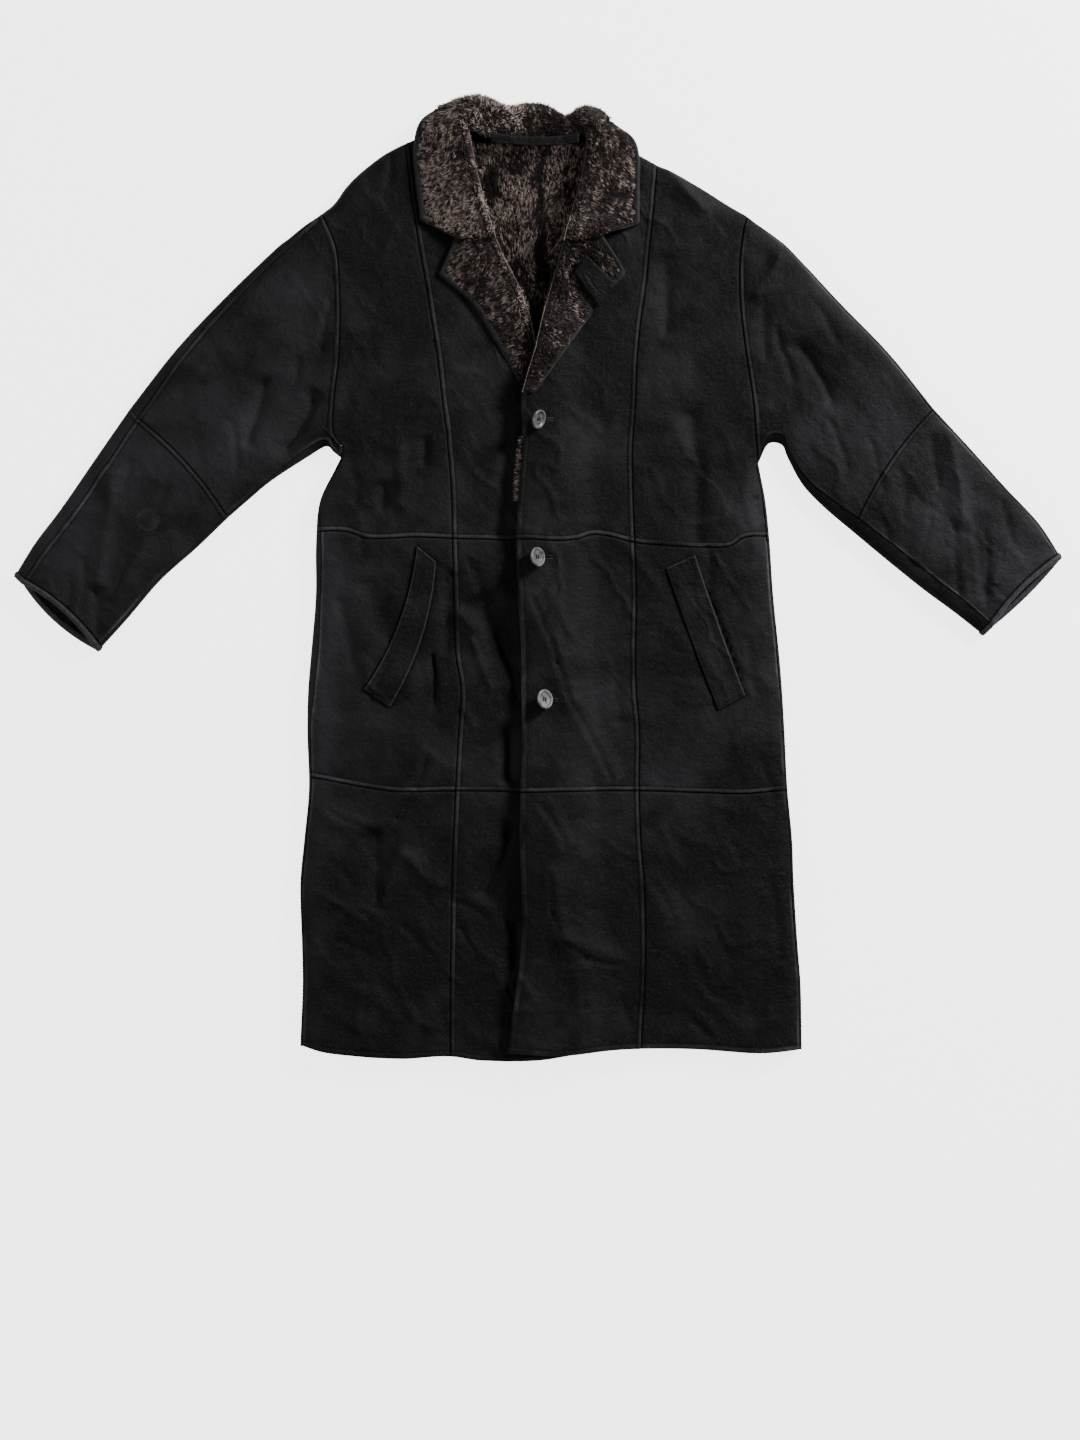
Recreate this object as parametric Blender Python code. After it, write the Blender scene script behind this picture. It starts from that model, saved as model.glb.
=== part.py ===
"""A long shearling coat, laid flat on its back with its front buttoned.

Z is up from the surface it lies on, +Y points to the collar, and +X to the wearer's left. Left and
right are the wearer's own, so the right side lies at -X. All lengths below are millimetres, and
MM turns them into Blender's metres where a mesh is made.

Every panel is a wall between an upper and a lower surface. The body panels are bounded by the
lines of BODY (x at each height) and by the seams across (y at each x), so two panels that share a
seam share its points. The sleeves run through the rows of SLEEVES, and the collar and the lapels
through tables of their own. What lies on another piece is draped over its faces.
"""

from collections import namedtuple
from math import cos, pi, radians, sin

import bpy
import numpy as np
from mathutils import Matrix, Vector
from mathutils.bvhtree import BVHTree

MM = 0.001
GAP = 0.3  # between pieces that meet at a seam
LAY = 0.5  # between a piece and what it lies on
WALL = 11.0  # skin and sheared wool of the back, the fronts and the sleeves
FRONT_Z = WALL + LAY  # underside of a front that lies on the back
PUFF = 3.0  # how far the middle of a front stands above its edges
PUFF_REACH = 55.0
FOLD_RADIUS = 22.0  # how far in the rounded sides reach
UNDER_RADIUS = 11.0  # the same on the underside
LOWEST_SIDE = 7.5  # where the rounded side leaves the underside
HIGHEST_SIDE = 12.5  # and where it meets the upper face
LAP_WIDTH = 5.5  # lapped seam allowance, stitched down
LAP_EDGE = 1.6
LAP_LIFT = 1.2
EDGE_BAND = 7.0  # topstitched band along a front's free edge
CENTRE_WIDTH = 140.0  # of a centre front, about
LEAST_WRAP = 2.4  # a back panel turns up round the front where it shows by this much
HEM_DROP = 2.5
HANG = 8.0  # how far inside the roll line a front ends, under the roll
BINDING = 8.5  # leather binding on collar and lapels
CUFF_BINDING = 9.0
BINDING_LIFT = 0.8

# One row for each height. The front edges turn into the lines on which the lapels roll.
Across = namedtuple(
    "Across", "y right_side right_princess under_edge over_edge left_princess left_side"
)
BODY = [
    Across(-640, -309, -114, 53, -39, 134, 344),
    Across(-608, -309, -114, 52, -38, 134, 343),
    Across(-527, -306, -114, 47, -28, 138, 341.5),
    Across(-475, -307, -113, 42, -22, 139, 337.5),
    Across(-395, -309, -112, 36, -22, 137, 332.5),
    Across(-340, -304, -110, 33, -24, 133, 330.5),
    Across(-275, -298, -107, 31, -23, 131, 324.5),
    Across(-197, -300, -103, 29, -21, 131, 320.5),
    Across(-146, -299, -100, 29, -22, 127, 317.5),
    Across(-97, -295, -107, 30, -22, 126, 313.5),
    Across(-23, -289, -109, 30, -26, 127, 306),
    Across(50, -288.5, -111, 31, -28, 125, 301),
    Across(102, -283, -112, 28, -26, 123, 295.5),
    Across(150, -260, -115, 25, -22, 122, 286.5),
    Across(168, -253, -117, 24, -21, 122, 284),
    Across(184, -264, -118, 21, -20, 123, 282.5),
    Across(229, -265, -124, 10, -22, 126, 279),
    Across(282, -259, -130, 1, -9, 128, 271),
    Across(334, -257, -138, -9, 3, 133, 264),
    Across(383, -258, -146, -26, 17, 140, 261),
    Across(428, -262, -154, -48, 31, 144, 263),
    Across(474, -281, -161, -64, 42, 149, 273),
    Across(520, -300, -167, -76, 55, 153, 300),
    Across(600, -330, -178, -92, 62, 161, 340),
]
ARMPIT = {"right": 157.0, "left": 150.0}
WAIST = 57.0  # height of the waist seam at the sides
TIER = 325.0  # height of the middle tier, and near enough that of the others
CENTRE_BACK = -2.0

# Seams across the coat and its upper and lower outlines, from the side to the front edge.
Point = namedtuple("Point", "x y")
HEM = {
    "right": [Point(-309, -607), Point(-283, -615), Point(-257, -619), Point(-179, -624), Point(-114, -621),
              Point(-75, -626), Point(3, -626), Point(53, -618)],
    "left": [Point(-39, -615), Point(29, -619), Point(81, -614), Point(133, -611), Point(211, -612),
             Point(289, -617), Point(344, -612)],
}
THIGH_SEAM = {
    "right": [Point(-300, -257), Point(-259, -265), Point(-216, -273), Point(-179, -277), Point(-110, -276),
              Point(42, -279)],
    "left": [Point(-23, -278), Point(127, -276), Point(226, -279), Point(264, -280), Point(325.5, -275)],
}
WAIST_SEAM = {
    "right": [Point(-287, 61), Point(-248, 60), Point(-223, 52), Point(-158, 53), Point(-111, 51), Point(35, 49)],
    "left": [Point(-27, 50), Point(47, 49), Point(70, 56), Point(87, 55), Point(125, 46), Point(164, 42),
             Point(217, 40), Point(251, 42), Point(264, 51), Point(301, 55)],
}
SHOULDER = {
    "right": [Point(-281, 474), Point(-265, 487), Point(-250, 508), Point(-230, 528), Point(-203, 549),
              Point(-164, 569), Point(-121, 584), Point(-85, 588)],
    "left": [Point(60, 586), Point(100, 567), Point(133, 549), Point(151, 539), Point(174, 528),
             Point(211, 508), Point(244, 487), Point(273, 470)],
}
BACK_NECK = [Point(-121, 584), Point(-100, 588), Point(-62, 582), Point(-13, 577), Point(44, 578),
             Point(72, 578), Point(90, 573), Point(110, 562)]

# How far inside the outline the long seams run, where the back panels wrap round to the front.
Wrap = namedtuple("Wrap", "y width")
SIDE_WRAP = {
    "right": [Wrap(-640, 3), Wrap(-260, 3), Wrap(-197, 4), Wrap(-146, 8), Wrap(-97, 9), Wrap(-23, 6),
              Wrap(40, 7), Wrap(80, 3.5), Wrap(150, 3), Wrap(184, 3)],
    "left": [Wrap(-640, 3), Wrap(184, 3)],
}

# One row for each section of a sleeve, from the armhole to the elbow seam and on to the cuff.
Section = namedtuple("Section", "outer_x outer_y inner_x inner_y outer_wrap inner_wrap")
SLEEVES = {
    "right": {
        "upper": [Section(-281, 474, -256, 157, 4, 4), Section(-303, 459, -266, 165, 6, 6),
                  Section(-324, 442, -276, 172, 7, 9), Section(-345, 425, -300, 158, 8, 10),
                  Section(-409, 363, -346, 128, 10, 4), Section(-471, 297, -376, 103, 13, 3),
                  Section(-531, 220, -403, 79.5, 16, 3)],
        "lower": [Section(-531, 220, -403, 79.5, 16, 3), Section(-576, 155, -443.5, 40.5, 17, 3),
                  Section(-620, 91, -491, -2, 17, 3), Section(-654, 46, -534, -52, 16, 3),
                  Section(-681, 2, -573, -95, 14, 3)],
    },
    "left": {
        "upper": [Section(273, 470, 286, 150, 3, 8), Section(293, 456, 299, 175, 3, 14),
                  Section(312, 442, 317, 174, 3, 14), Section(331, 425, 325, 157, 3, 10),
                  Section(391, 360, 344, 122.5, 3, 10), Section(456, 293, 372.5, 92.5, 3, 13),
                  Section(514, 221, 406, 64, 3, 16)],
        "lower": [Section(514, 221, 406, 64, 3, 16), Section(563, 168, 454, 24, 3, 19),
                  Section(609, 117, 500, -13, 3, 19), Section(651, 72, 542, -44, 3, 18),
                  Section(681, 26, 580, -74, 3, 15)],
    },
}
ELBOW_BOW = 8.0  # the elbow seams curve this much towards the shoulder
# The front rim of a cuff is drawn in by this much, and the back rim shows beyond it.
CUFF_BOW = {"right": {"front": 8.5, "back": -8.5}, "left": {"front": 7.0, "back": -3.5}}
LOWER_LENGTH = 215.0  # of the lower sleeve, from the elbow seam to the cuff's edge

# The largest folds, from end to end: below zero a trough, above zero a ridge.
Fold = namedtuple("Fold", "x0 y0 x1 y1 half_width height")
FOLDS = [
    Fold(-74, -32, -29, -122, 17, -6.5), Fold(-137, -97, -134, -177, 7, -5), Fold(-223, -10, -198, -72, 16, -3),
    Fold(-104, -45, -86, -67, 10, 3), Fold(-36, -197, -36, -258, 14, -4), Fold(-143, -231, -205, -332, 14, 3),
    Fold(-274, -302, -205, -332, 13, 2.5), Fold(-208, -338, -208, -422, 18, -3.5),
    Fold(-182, -358, -202, -422, 12, 3), Fold(-182, -356, -129, -400, 12, 2.5), Fold(-31, -328, -70, -409, 16, -5),
    Fold(-31, -448, -31, -506, 15, -4), Fold(-226, -536, -234, -580, 14, 2.5), Fold(-178, 169, -178, 91, 11, 3),
    Fold(-150, 178, -150, 150, 9, -3), Fold(-201, 118, -201, 91, 12, -3), Fold(-108, 3, -117, -97, 6, -3),
    Fold(-6, -25, 44, -159, 14, 2.5), Fold(44, -159, 98, -263, 13, 2.5), Fold(3, -290, 36, -348, 13, 2.5),
    Fold(13, -384, 31, -470, 12, 2.5), Fold(31, -470, 109, -501, 13, 3), Fold(56, -509, 62, -600, 12, 2.5),
    Fold(146, -387, 173, -443, 14, 2), Fold(215, -470, 231, -522, 14, 2), Fold(165, 409, 165, 323, 20, -2.5),
    Fold(196, 210, 208, 51, 20, -2.5), Fold(168, 532, 212, 476, 13, 3), Fold(-291, 232, -330, 168, 16, -5),
    Fold(-356, 255, -376, 176, 14, -3.5), Fold(-376, 358, -356, 340, 13, 2.5), Fold(-554, 137, -569, -3, 13, 3),
    Fold(-502, 72, -547, -23, 14, 3), Fold(-573, -16, -573, -73, 12, -2.5), Fold(311, 419, 280, 366, 14, 3),
    Fold(341, 301, 380, 229, 16, -3.5), Fold(445, 252, 421, 229, 13, 2.5), Fold(532, 187, 551, 72, 14, 3),
    Fold(509, 80, 494, 27, 13, 3), Fold(568, 72, 575, -20, 12, -2.5), Fold(619, 27, 593, -3, 12, 2.5),
]

# One row for each section of the collar, from the notch to the middle of the back: its outer edge,
# the crest on which it rolls, its inner edge, and the heights of the upper face there.
Roll = namedtuple("Roll", "edge_x edge_y crest_x crest_y inner_x inner_y edge_z crest_z inner_z")
COLLAR = {
    "right": [Roll(-108, 440, -66, 441, -53, 439, 31, 36, 14), Roll(-145, 460, -75, 469, -63, 469, 31, 37, 15),
              Roll(-153, 464, -77, 476, -65, 476, 31, 37, 15), Roll(-154, 473, -79, 484, -67, 484, 31, 37, 15),
              Roll(-159, 512, -89, 525, -77, 525, 31, 38, 15), Roll(-162, 552, -98, 567, -86, 567, 30, 38, 16),
              Roll(-156, 588, -102, 592, -87, 582, 24, 38, 18), Roll(-139, 606, -97, 603, -77, 575, 14, 36, 18),
              Roll(-109, 620, -86, 608, -64, 573, 12, 33, 17), Roll(-76, 626, -70, 609, -52, 570, 11, 31, 16),
              Roll(-40, 612, -40, 600, -33, 567, 10, 28, 15), Roll(-14, 616, -14, 602, -14, 566, 10, 27, 15)],
    "left": [Roll(84, 443, 45, 436, 32, 434, 43, 47, 16), Roll(123, 455, 53, 468, 40, 466, 34, 41, 15),
             Roll(131, 459, 55, 476, 42, 474, 33, 40, 15), Roll(132, 468, 57, 485, 45, 484, 33, 40, 15),
             Roll(132, 508, 67, 521, 55, 521, 31, 38, 15), Roll(132, 545, 74, 564, 62, 564, 30, 38, 16),
             Roll(124, 571, 77, 586, 57, 577, 24, 38, 18), Roll(101, 589, 70, 595, 52, 573, 14, 36, 18),
             Roll(81, 607, 62, 601, 47, 571, 12, 33, 17), Roll(60, 612, 53, 601, 39, 570, 11, 31, 16),
             Roll(38, 599, 36, 590, 24, 567, 10, 28, 15), Roll(12, 612, 12, 599, 7, 566, 10, 28, 15),
             Roll(-13.5, 616, -13.5, 602, -13.5, 566, 10, 27, 15)],
}
LAPEL = {
    "right": [Roll(-108, 440, -66, 441, -53, 439, 31, 36, 14), Roll(-126, 400, -56, 419, -44, 419, 31, 36, 14),
              Roll(-128, 393, -54, 414, -42, 414, 31, 36, 14), Roll(-123, 388, -51, 409, -39, 409, 31, 36, 14),
              Roll(-106, 374, -42, 390, -30, 391, 31, 36, 14), Roll(-84, 353, -29, 362, -17, 364, 31, 36, 14),
              Roll(-55, 305, -15, 315, -4, 316, 29, 32, 14), Roll(-25, 255, -7, 272, 2, 274, 26, 27, 14)],
    "left": [Roll(84, 443, 45, 436, 32, 434, 43, 47, 16), Roll(111, 401, 39, 417, 26, 414, 33, 40, 15),
             Roll(113, 394, 38, 412, 25, 409, 33, 40, 15), Roll(108, 388, 36, 406, 23, 403, 33, 40, 15),
             Roll(95, 374, 31, 388, 18, 385, 33, 40, 15), Roll(76, 350, 19, 347, 6, 342, 33, 41, 15),
             Roll(47, 309, 9, 306, -3, 302, 34, 44, 28), Roll(17, 267, -5, 266, -15, 262, 36, 44, 30),
             Roll(-4, 237, -14, 241, -21, 239, 35, 40, 30)],
}
BINDING_ENDS = 7.2  # the collar's binding ends just past this section, under the back of the neck

Corner = namedtuple("Corner", "x y")
WELTS = {
    "right": [Corner(-157, 42), Corner(-132, 21), Corner(-192, -168), Corner(-226, -144)],
    "left": [Corner(166, 13), Corner(204, 30), Corner(269, -152), Corner(234, -171)],
}
WELT_BOW = {"right": -12.5, "left": 1.5}  # how far the long sides curve
WELT_THICK = 3.2
LAPEL_TAB = [Corner(61, 418), Corner(46, 395), Corner(80, 349), Corner(100, 381)]
TAB_THICK = 1.6
LOOP = [Corner(-60, 577), Corner(-60, 566), Corner(52, 563), Corner(52, 574)]
LOOP_THICK = 2.4

Button = namedtuple("Button", "x y tilt heading")
BUTTONS = [Button(-0.6, 204.1, 54, -19), Button(-2.0, 26.0, 46, 8), Button(7.5, -157.3, 42, 10)]
BUTTON_ACROSS = 25.4
BUTTON_THICK = 4.2
BUTTON_SIDES = 24
# From the middle of its face over the rim to its back: shares of the radius and of the thickness.
BUTTON_PROFILE = [(0, 0.45), (0.45, 0.42), (0.68, 0.5), (0.78, 0.95), (0.9, 1), (1, 0.72), (1, 0.38), (0.8, 0)]
SHANK_ACROSS = 5.0
SHANK_HIGH = 6.5

LEATHER = ("black_sheepskin", "1C1B1D", 0.78)
BOUND = ("black_leather_binding", "242326", 0.6)
WOOL = ("brown_sheared_wool", "40342F", 0.95)
HORN = ("grey_horn_button", "8C8C8A", 0.4)

solids = {}  # name: (points, faces) of each piece made so far, which later ones are draped over


# Lines and outlines


def smooth(xs, ys, x):
    """A smooth curve through the points, without overshoot where two neighbours are level."""
    xs, ys = np.asarray(xs, float), np.asarray(ys, float)
    steps = np.diff(ys) / np.diff(xs)
    slopes = np.concatenate([steps[:1], (steps[1:] + steps[:-1]) / 2, steps[-1:]])
    at = np.clip(np.asarray(x, float), xs[0], xs[-1])
    i = np.clip(np.searchsorted(xs, at, side="right") - 1, 0, len(xs) - 2)
    width = xs[i + 1] - xs[i]
    t = (at - xs[i]) / width
    return (
        (2 * t**3 - 3 * t**2 + 1) * ys[i]
        + (t**3 - 2 * t**2 + t) * width * slopes[i]
        + (3 * t**2 - 2 * t**3) * ys[i + 1]
        + (t**3 - t**2) * width * slopes[i + 1]
    )


def body_line(column, y):
    return smooth([row.y for row in BODY], [getattr(row, column) for row in BODY], y)


def seam_line(points, x):
    return smooth([p.x for p in points], [p.y for p in points], x)


def along(rows, columns, t):
    """The named columns of a table at t, from 0 at its first row to 1 at its last."""
    at = np.linspace(0, 1, len(rows))
    return np.stack([smooth(at, [getattr(row, c) for row in rows], t) for c in columns], -1)


def front_edge(side, y):
    """The front's edge, drawn back under the roll above the uppermost button."""
    edge = body_line("under_edge" if side == "right" else "over_edge", y)
    back = HANG * np.clip((y - 235) / 60, 0, 1)
    return edge - back if side == "right" else edge + back


def side_sign(side):
    return -1 if side == "right" else 1


def side_seam(side, y):
    wrap = smooth([w.y for w in SIDE_WRAP[side]], [w.width for w in SIDE_WRAP[side]], y)
    wrap = np.where(y > ARMPIT[side] - 2, 0, wrap)
    return body_line(side + "_side", y) - side_sign(side) * wrap


OUTLINE_STEP = 12.0
OUTLINE_POINTS = 28  # along each part of a sleeve, and along a shoulder


def rounded_outline():
    """Points along every folded side of the coat, where its faces round over."""
    points = []
    for side in ("right", "left"):
        for y in np.arange(HEM[side][0].y, ARMPIT[side], OUTLINE_STEP):
            points.append((float(body_line(side + "_side", y)), y))
        for part in ("upper", "lower"):
            for t in np.linspace(0, 1, OUTLINE_POINTS):
                outer_x, outer_y, inner_x, inner_y = along(SLEEVES[side][part], Section._fields[:4], t)
                points += [(outer_x, outer_y), (inner_x, inner_y)]
        for x in np.linspace(SHOULDER[side][0].x, SHOULDER[side][-1].x, OUTLINE_POINTS):
            points.append((x, float(seam_line(SHOULDER[side], x))))
    return np.array(points)


OUTLINE = rounded_outline()


def from_outline(xy):
    flat = xy.reshape(-1, 2)
    nearest = [np.sqrt(((OUTLINE - p) ** 2).sum(1).min()) for p in flat]
    return np.array(nearest).reshape(xy.shape[:-1])


def quarter(distance, radius):
    """0 at the outline to 1 a radius inside it, as a quarter of an ellipse."""
    t = 1 - np.minimum(distance, radius) / radius
    return np.sqrt(1 - t**2)


def upper_face(xy):
    """Height of a front or a sleeve that lies on the back."""
    inside = from_outline(xy)
    rise = FRONT_Z + WALL - HIGHEST_SIDE
    return HIGHEST_SIDE + rise * quarter(inside, FOLD_RADIUS) + PUFF * (1 - np.exp(-inside / PUFF_REACH))


def under_face(xy):
    return LOWEST_SIDE * (1 - quarter(from_outline(xy), UNDER_RADIUS))


def folds(xy):
    """The sum of the folds: soft across, and fading towards both ends."""
    total = np.zeros(xy.shape[:-1])
    for fold in FOLDS:
        start = np.array([fold.x0, fold.y0])
        run = np.array([fold.x1, fold.y1]) - start
        length = np.hypot(*run)
        t = ((xy - start) @ run) / length**2
        across = np.abs((xy - start) @ np.array([-run[1], run[0]])) / length
        end = np.clip(np.minimum(t, 1 - t) * length / fold.half_width + 1, 0, 1)
        total += fold.height * np.exp(-((across / fold.half_width) ** 2)) * end**2 * (3 - 2 * end)
    return total


# Making walls


def material(finish):
    name, colour, roughness = finish
    if name in bpy.data.materials:
        return bpy.data.materials[name]
    made = bpy.data.materials.new(name)
    made.use_nodes = True
    shader = made.node_tree.nodes["Principled BSDF"]
    linear = [(int(colour[i : i + 2], 16) / 255) ** 2.2 for i in (0, 2, 4)]
    shader.inputs["Base Color"].default_value = (*linear, 1)
    shader.inputs["Roughness"].default_value = roughness
    shader.inputs["Metallic"].default_value = 0
    return made


def add_piece(name, points, faces, finish):
    """One closed mesh, its faces turned outwards, remembered for what is draped on it."""
    points = np.asarray(points, float)
    volume = 0.0
    for face in faces:
        first = points[face[0]]
        for a, b in zip(face[1:], face[2:]):
            volume += np.dot(first, np.cross(points[a], points[b]))
    if volume < 0:
        faces = [tuple(reversed(face)) for face in faces]
    mesh = bpy.data.meshes.new(name)
    mesh.from_pydata((points * MM).tolist(), [], faces)
    mesh.materials.append(material(finish))
    mesh.shade_smooth()
    mesh.set_sharp_from_angle(angle=radians(40))
    obj = bpy.data.objects.new(name, mesh)
    bpy.context.scene.collection.objects.link(obj)
    solids[name] = (points, faces)
    return obj


def inset(xy):
    """Draws the border of a grid in by half a seam gap."""
    xy = xy.copy()
    half = GAP / 2
    for edge, inner in (((0), (1)), ((-1), (-2))):
        run = xy[inner] - xy[edge]
        xy[edge] = xy[edge] + half * run / np.hypot(run[:, 0], run[:, 1])[:, None]
        run = xy[:, inner] - xy[:, edge]
        xy[:, edge] = xy[:, edge] + half * run / np.hypot(run[:, 0], run[:, 1])[:, None]
    return xy


def wall(name, xy, top, bottom, finish=LEATHER, flat_under=False):
    """A closed wall between the heights top and bottom over a grid of rows and columns."""
    rows, columns = xy.shape[:2]
    upper = np.dstack([xy, top]).reshape(-1, 3)
    lower = np.dstack([xy, bottom]).reshape(-1, 3)

    def at(i, j):
        return i * columns + j

    border = [at(0, j) for j in range(columns)]
    border += [at(i, columns - 1) for i in range(1, rows)]
    border += [at(rows - 1, j) for j in range(columns - 2, -1, -1)]
    border += [at(i, 0) for i in range(rows - 2, 0, -1)]
    faces = [
        (at(i, j), at(i, j + 1), at(i + 1, j + 1), at(i + 1, j))
        for i in range(rows - 1)
        for j in range(columns - 1)
    ]
    if flat_under:
        lower = lower[border]
        under = {k: rows * columns + n for n, k in enumerate(border)}
        faces.append(tuple(reversed([under[k] for k in border])))
    else:
        under = {k: rows * columns + k for k in range(rows * columns)}
        faces += [tuple(under[k] for k in reversed(face)) for face in list(faces)]
    for a, b in zip(border, border[1:] + border[:1]):
        faces.append((b, a, under[a], under[b]))
    return add_piece(name, np.concatenate([upper, lower]), faces, finish)


def tree_of(names):
    points, faces = [], []
    for name in names:
        start = len(points)
        points += solids[name][0].tolist()
        faces += [tuple(k + start for k in face) for face in solids[name][1]]
    return BVHTree.FromPolygons(points, faces)


def drape(xy, names, slope=0.45, flat=15.0, reach=40.0):
    """The lowest a piece can lie over the named ones: level as far as flat, then sloping down."""
    tree = tree_of(names)
    peaks = np.concatenate([solids[name][0] for name in names])
    spokes = [(0.0, 0.0, 0.0)]
    for radius in [flat / 2, flat] + list(np.arange(flat + 6, reach + 1, 8)):
        spokes += [(radius * cos(a), radius * sin(a), radius) for a in np.arange(0, 2 * pi, pi / 6)]
    held = np.zeros(xy.shape[:-1])
    for index in np.ndindex(held.shape):
        x, y = xy[index]
        away = np.hypot(peaks[:, 0] - x, peaks[:, 1] - y)
        near = away < reach
        fall = slope * np.maximum(0, away[near] - flat)
        highest = float(np.max(peaks[near, 2] + LAY - fall, initial=0.0))
        for dx, dy, radius in spokes:
            hit = tree.ray_cast(Vector((x + dx, y + dy, 500)), Vector((0, 0, -1)))[0]
            if hit is not None:
                highest = max(highest, hit.z + LAY - slope * max(0.0, radius - flat))
        held[index] = highest
    return held


# The body


def spaced(lap, steps, length, end_lap=0.0):
    """Fractions of a length: the lapped allowance first, then even steps."""
    start = [0, LAP_WIDTH / length, (LAP_WIDTH + LAP_EDGE) / length] if lap else [0]
    finish = [1 - end_lap / length, 1] if end_lap else [1]
    return start[:-1] + list(np.linspace(start[-1], finish[0], steps + 1)) + finish[1:]


def between(left, right, low, high, us, vs):
    """A grid whose columns run between two lines x(y), and its rows between two lines y(x)."""
    u, v = np.meshgrid(us, vs)
    y = low(np.zeros_like(u)) + v * TIER
    x = np.zeros_like(u)
    for _ in range(40):
        x = left(y) + u * (right(y) - left(y))
        y = 0.5 * y + 0.5 * (low(x) + v * (high(x) - low(x)))
    return np.dstack([x, y])


ARM_STEPS = [0, 0.045, 0.13, 0.24, 0.36, 0.5, 0.64, 0.76, 0.87, 0.955, 1]


def rows_of(tier, side):
    """Fractions of a tier's height, and the lift of a lapped seam at its foot."""
    if tier == "lower":
        vs = [0, 0.017] + list(np.linspace(0.06, 1, 10))
        return vs, np.zeros(len(vs))
    if tier == "middle":
        vs = spaced(True, 10, TIER)
    else:
        waist = float(seam_line(WAIST_SEAM[side], body_line(side + "_side", WAIST)))
        tip = SHOULDER[side][0 if side == "right" else -1].y
        apex = (ARMPIT[side] - waist) / (tip - waist)
        foot = spaced(True, 4, (tip - waist) * apex)
        vs = [v * apex for v in foot[:-1]] + [apex + (1 - apex) * t for t in ARM_STEPS]
    lift = np.zeros(len(vs))
    lift[:2] = LAP_LIFT
    return vs, lift


def tier_lines(side, tier):
    low = {"lower": HEM, "middle": THIGH_SEAM, "upper": WAIST_SEAM}[tier][side]
    high = {"lower": THIGH_SEAM, "middle": WAIST_SEAM, "upper": SHOULDER}[tier][side]
    return (lambda x: seam_line(low, x)), (lambda x: seam_line(high, x))


def front_grid(side, tier, panel):
    """The panel's grid, from the side to the front edge, and the lift of its lapped seams."""
    low, high = tier_lines(side, tier)
    vs, row_lift = rows_of(tier, side)

    def princess(y):
        return body_line(side + "_princess", y)

    if panel == "side":
        us = [0, 0.045, 0.11] + list(np.linspace(0.28, 1, 5))
        xy = between(lambda y: side_seam(side, y), princess, low, high, us, vs)
        lift = np.zeros(len(us))
    else:
        us = spaced(True, 6, CENTRE_WIDTH, end_lap=EDGE_BAND)
        xy = between(princess, lambda y: front_edge(side, y), low, high, us, vs)
        lift = np.zeros(len(us))
        lift[:2] = LAP_LIFT
    return xy, np.maximum(row_lift[:, None], lift[None, :])


def front_top(xy, lift, tier):
    top = upper_face(xy) + folds(xy) + lift
    if tier == "lower":
        top[0] -= HEM_DROP
    return top


def make_front(side):
    for tier in ("lower", "middle", "upper"):
        for panel in ("side", "centre"):
            xy, lift = front_grid(side, tier, panel)
            xy = inset(xy)
            top = front_top(xy, lift, tier)
            bottom = np.full(top.shape, FRONT_Z)
            over = side == "left" and panel == "centre"
            if over:
                under = [n for n in solids if n.startswith(("front_right", "lapel_right", "back"))]
                bottom = np.maximum(bottom, drape(xy, under) + 2 * LAY)
                top = top + (bottom - FRONT_Z)
            wall(f"front_{side}_{tier}_{panel}", xy, top, bottom, flat_under=not over)


def wraps(width):
    """Which rows are wide enough to turn up round the front, with their neighbours."""
    wide = np.concatenate([[True], width >= LEAST_WRAP, [True]])
    return wide[:-2] & wide[1:-1] & wide[2:]


def make_back():
    """Six panels under the fronts, whose sides wrap up round them as far as the side seams."""
    for side in ("right", "left"):
        for tier in ("lower", "middle", "upper"):
            low, high = tier_lines(side, tier)
            vs, _ = rows_of(tier, side)
            across = [0, 0.035, 0.5, 0.66, 0.85, 1]

            def middle_line(y):
                return np.full_like(y, CENTRE_BACK)

            def top_line(x):
                neck = (x > BACK_NECK[0].x) & (x < BACK_NECK[-1].x)
                return np.where(neck, seam_line(BACK_NECK, x), high(x))

            highest = top_line if tier == "upper" else high
            plate = between(lambda y: side_seam(side, y), middle_line, low, highest, across, vs)
            outer = body_line(side + "_side", plate[:, 0, 1])
            edge = plate[:, 0].copy()
            edge[:, 0] = outer
            width = np.abs(plate[:, 0, 0] - outer)
            folded = wraps(width)
            width = np.maximum(width, LEAST_WRAP)
            sign = side_sign(side)
            columns = []
            for inward in (np.zeros_like(width), 0.45 * width, width - GAP / 2, width + GAP / 2):
                column = edge.copy()
                column[:, 0] -= sign * inward
                columns.append(column[:, None])
            xy = inset(np.concatenate(columns + [plate[:, 1:]], axis=1))
            top = np.full(xy.shape[:2], WALL)
            raised = upper_face(xy)
            for column in range(3):
                top[:, column] = np.where(folded, raised[:, column], WALL)
            wall(f"back_{side}_{tier}", xy, top, under_face(xy))


# The sleeves


def armhole(side):
    """The armhole's points, from the tip of the shoulder down to the armpit."""
    column = front_grid(side, "upper", "side")[0][:, 0]
    return column[-len(ARM_STEPS) :][::-1]


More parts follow.
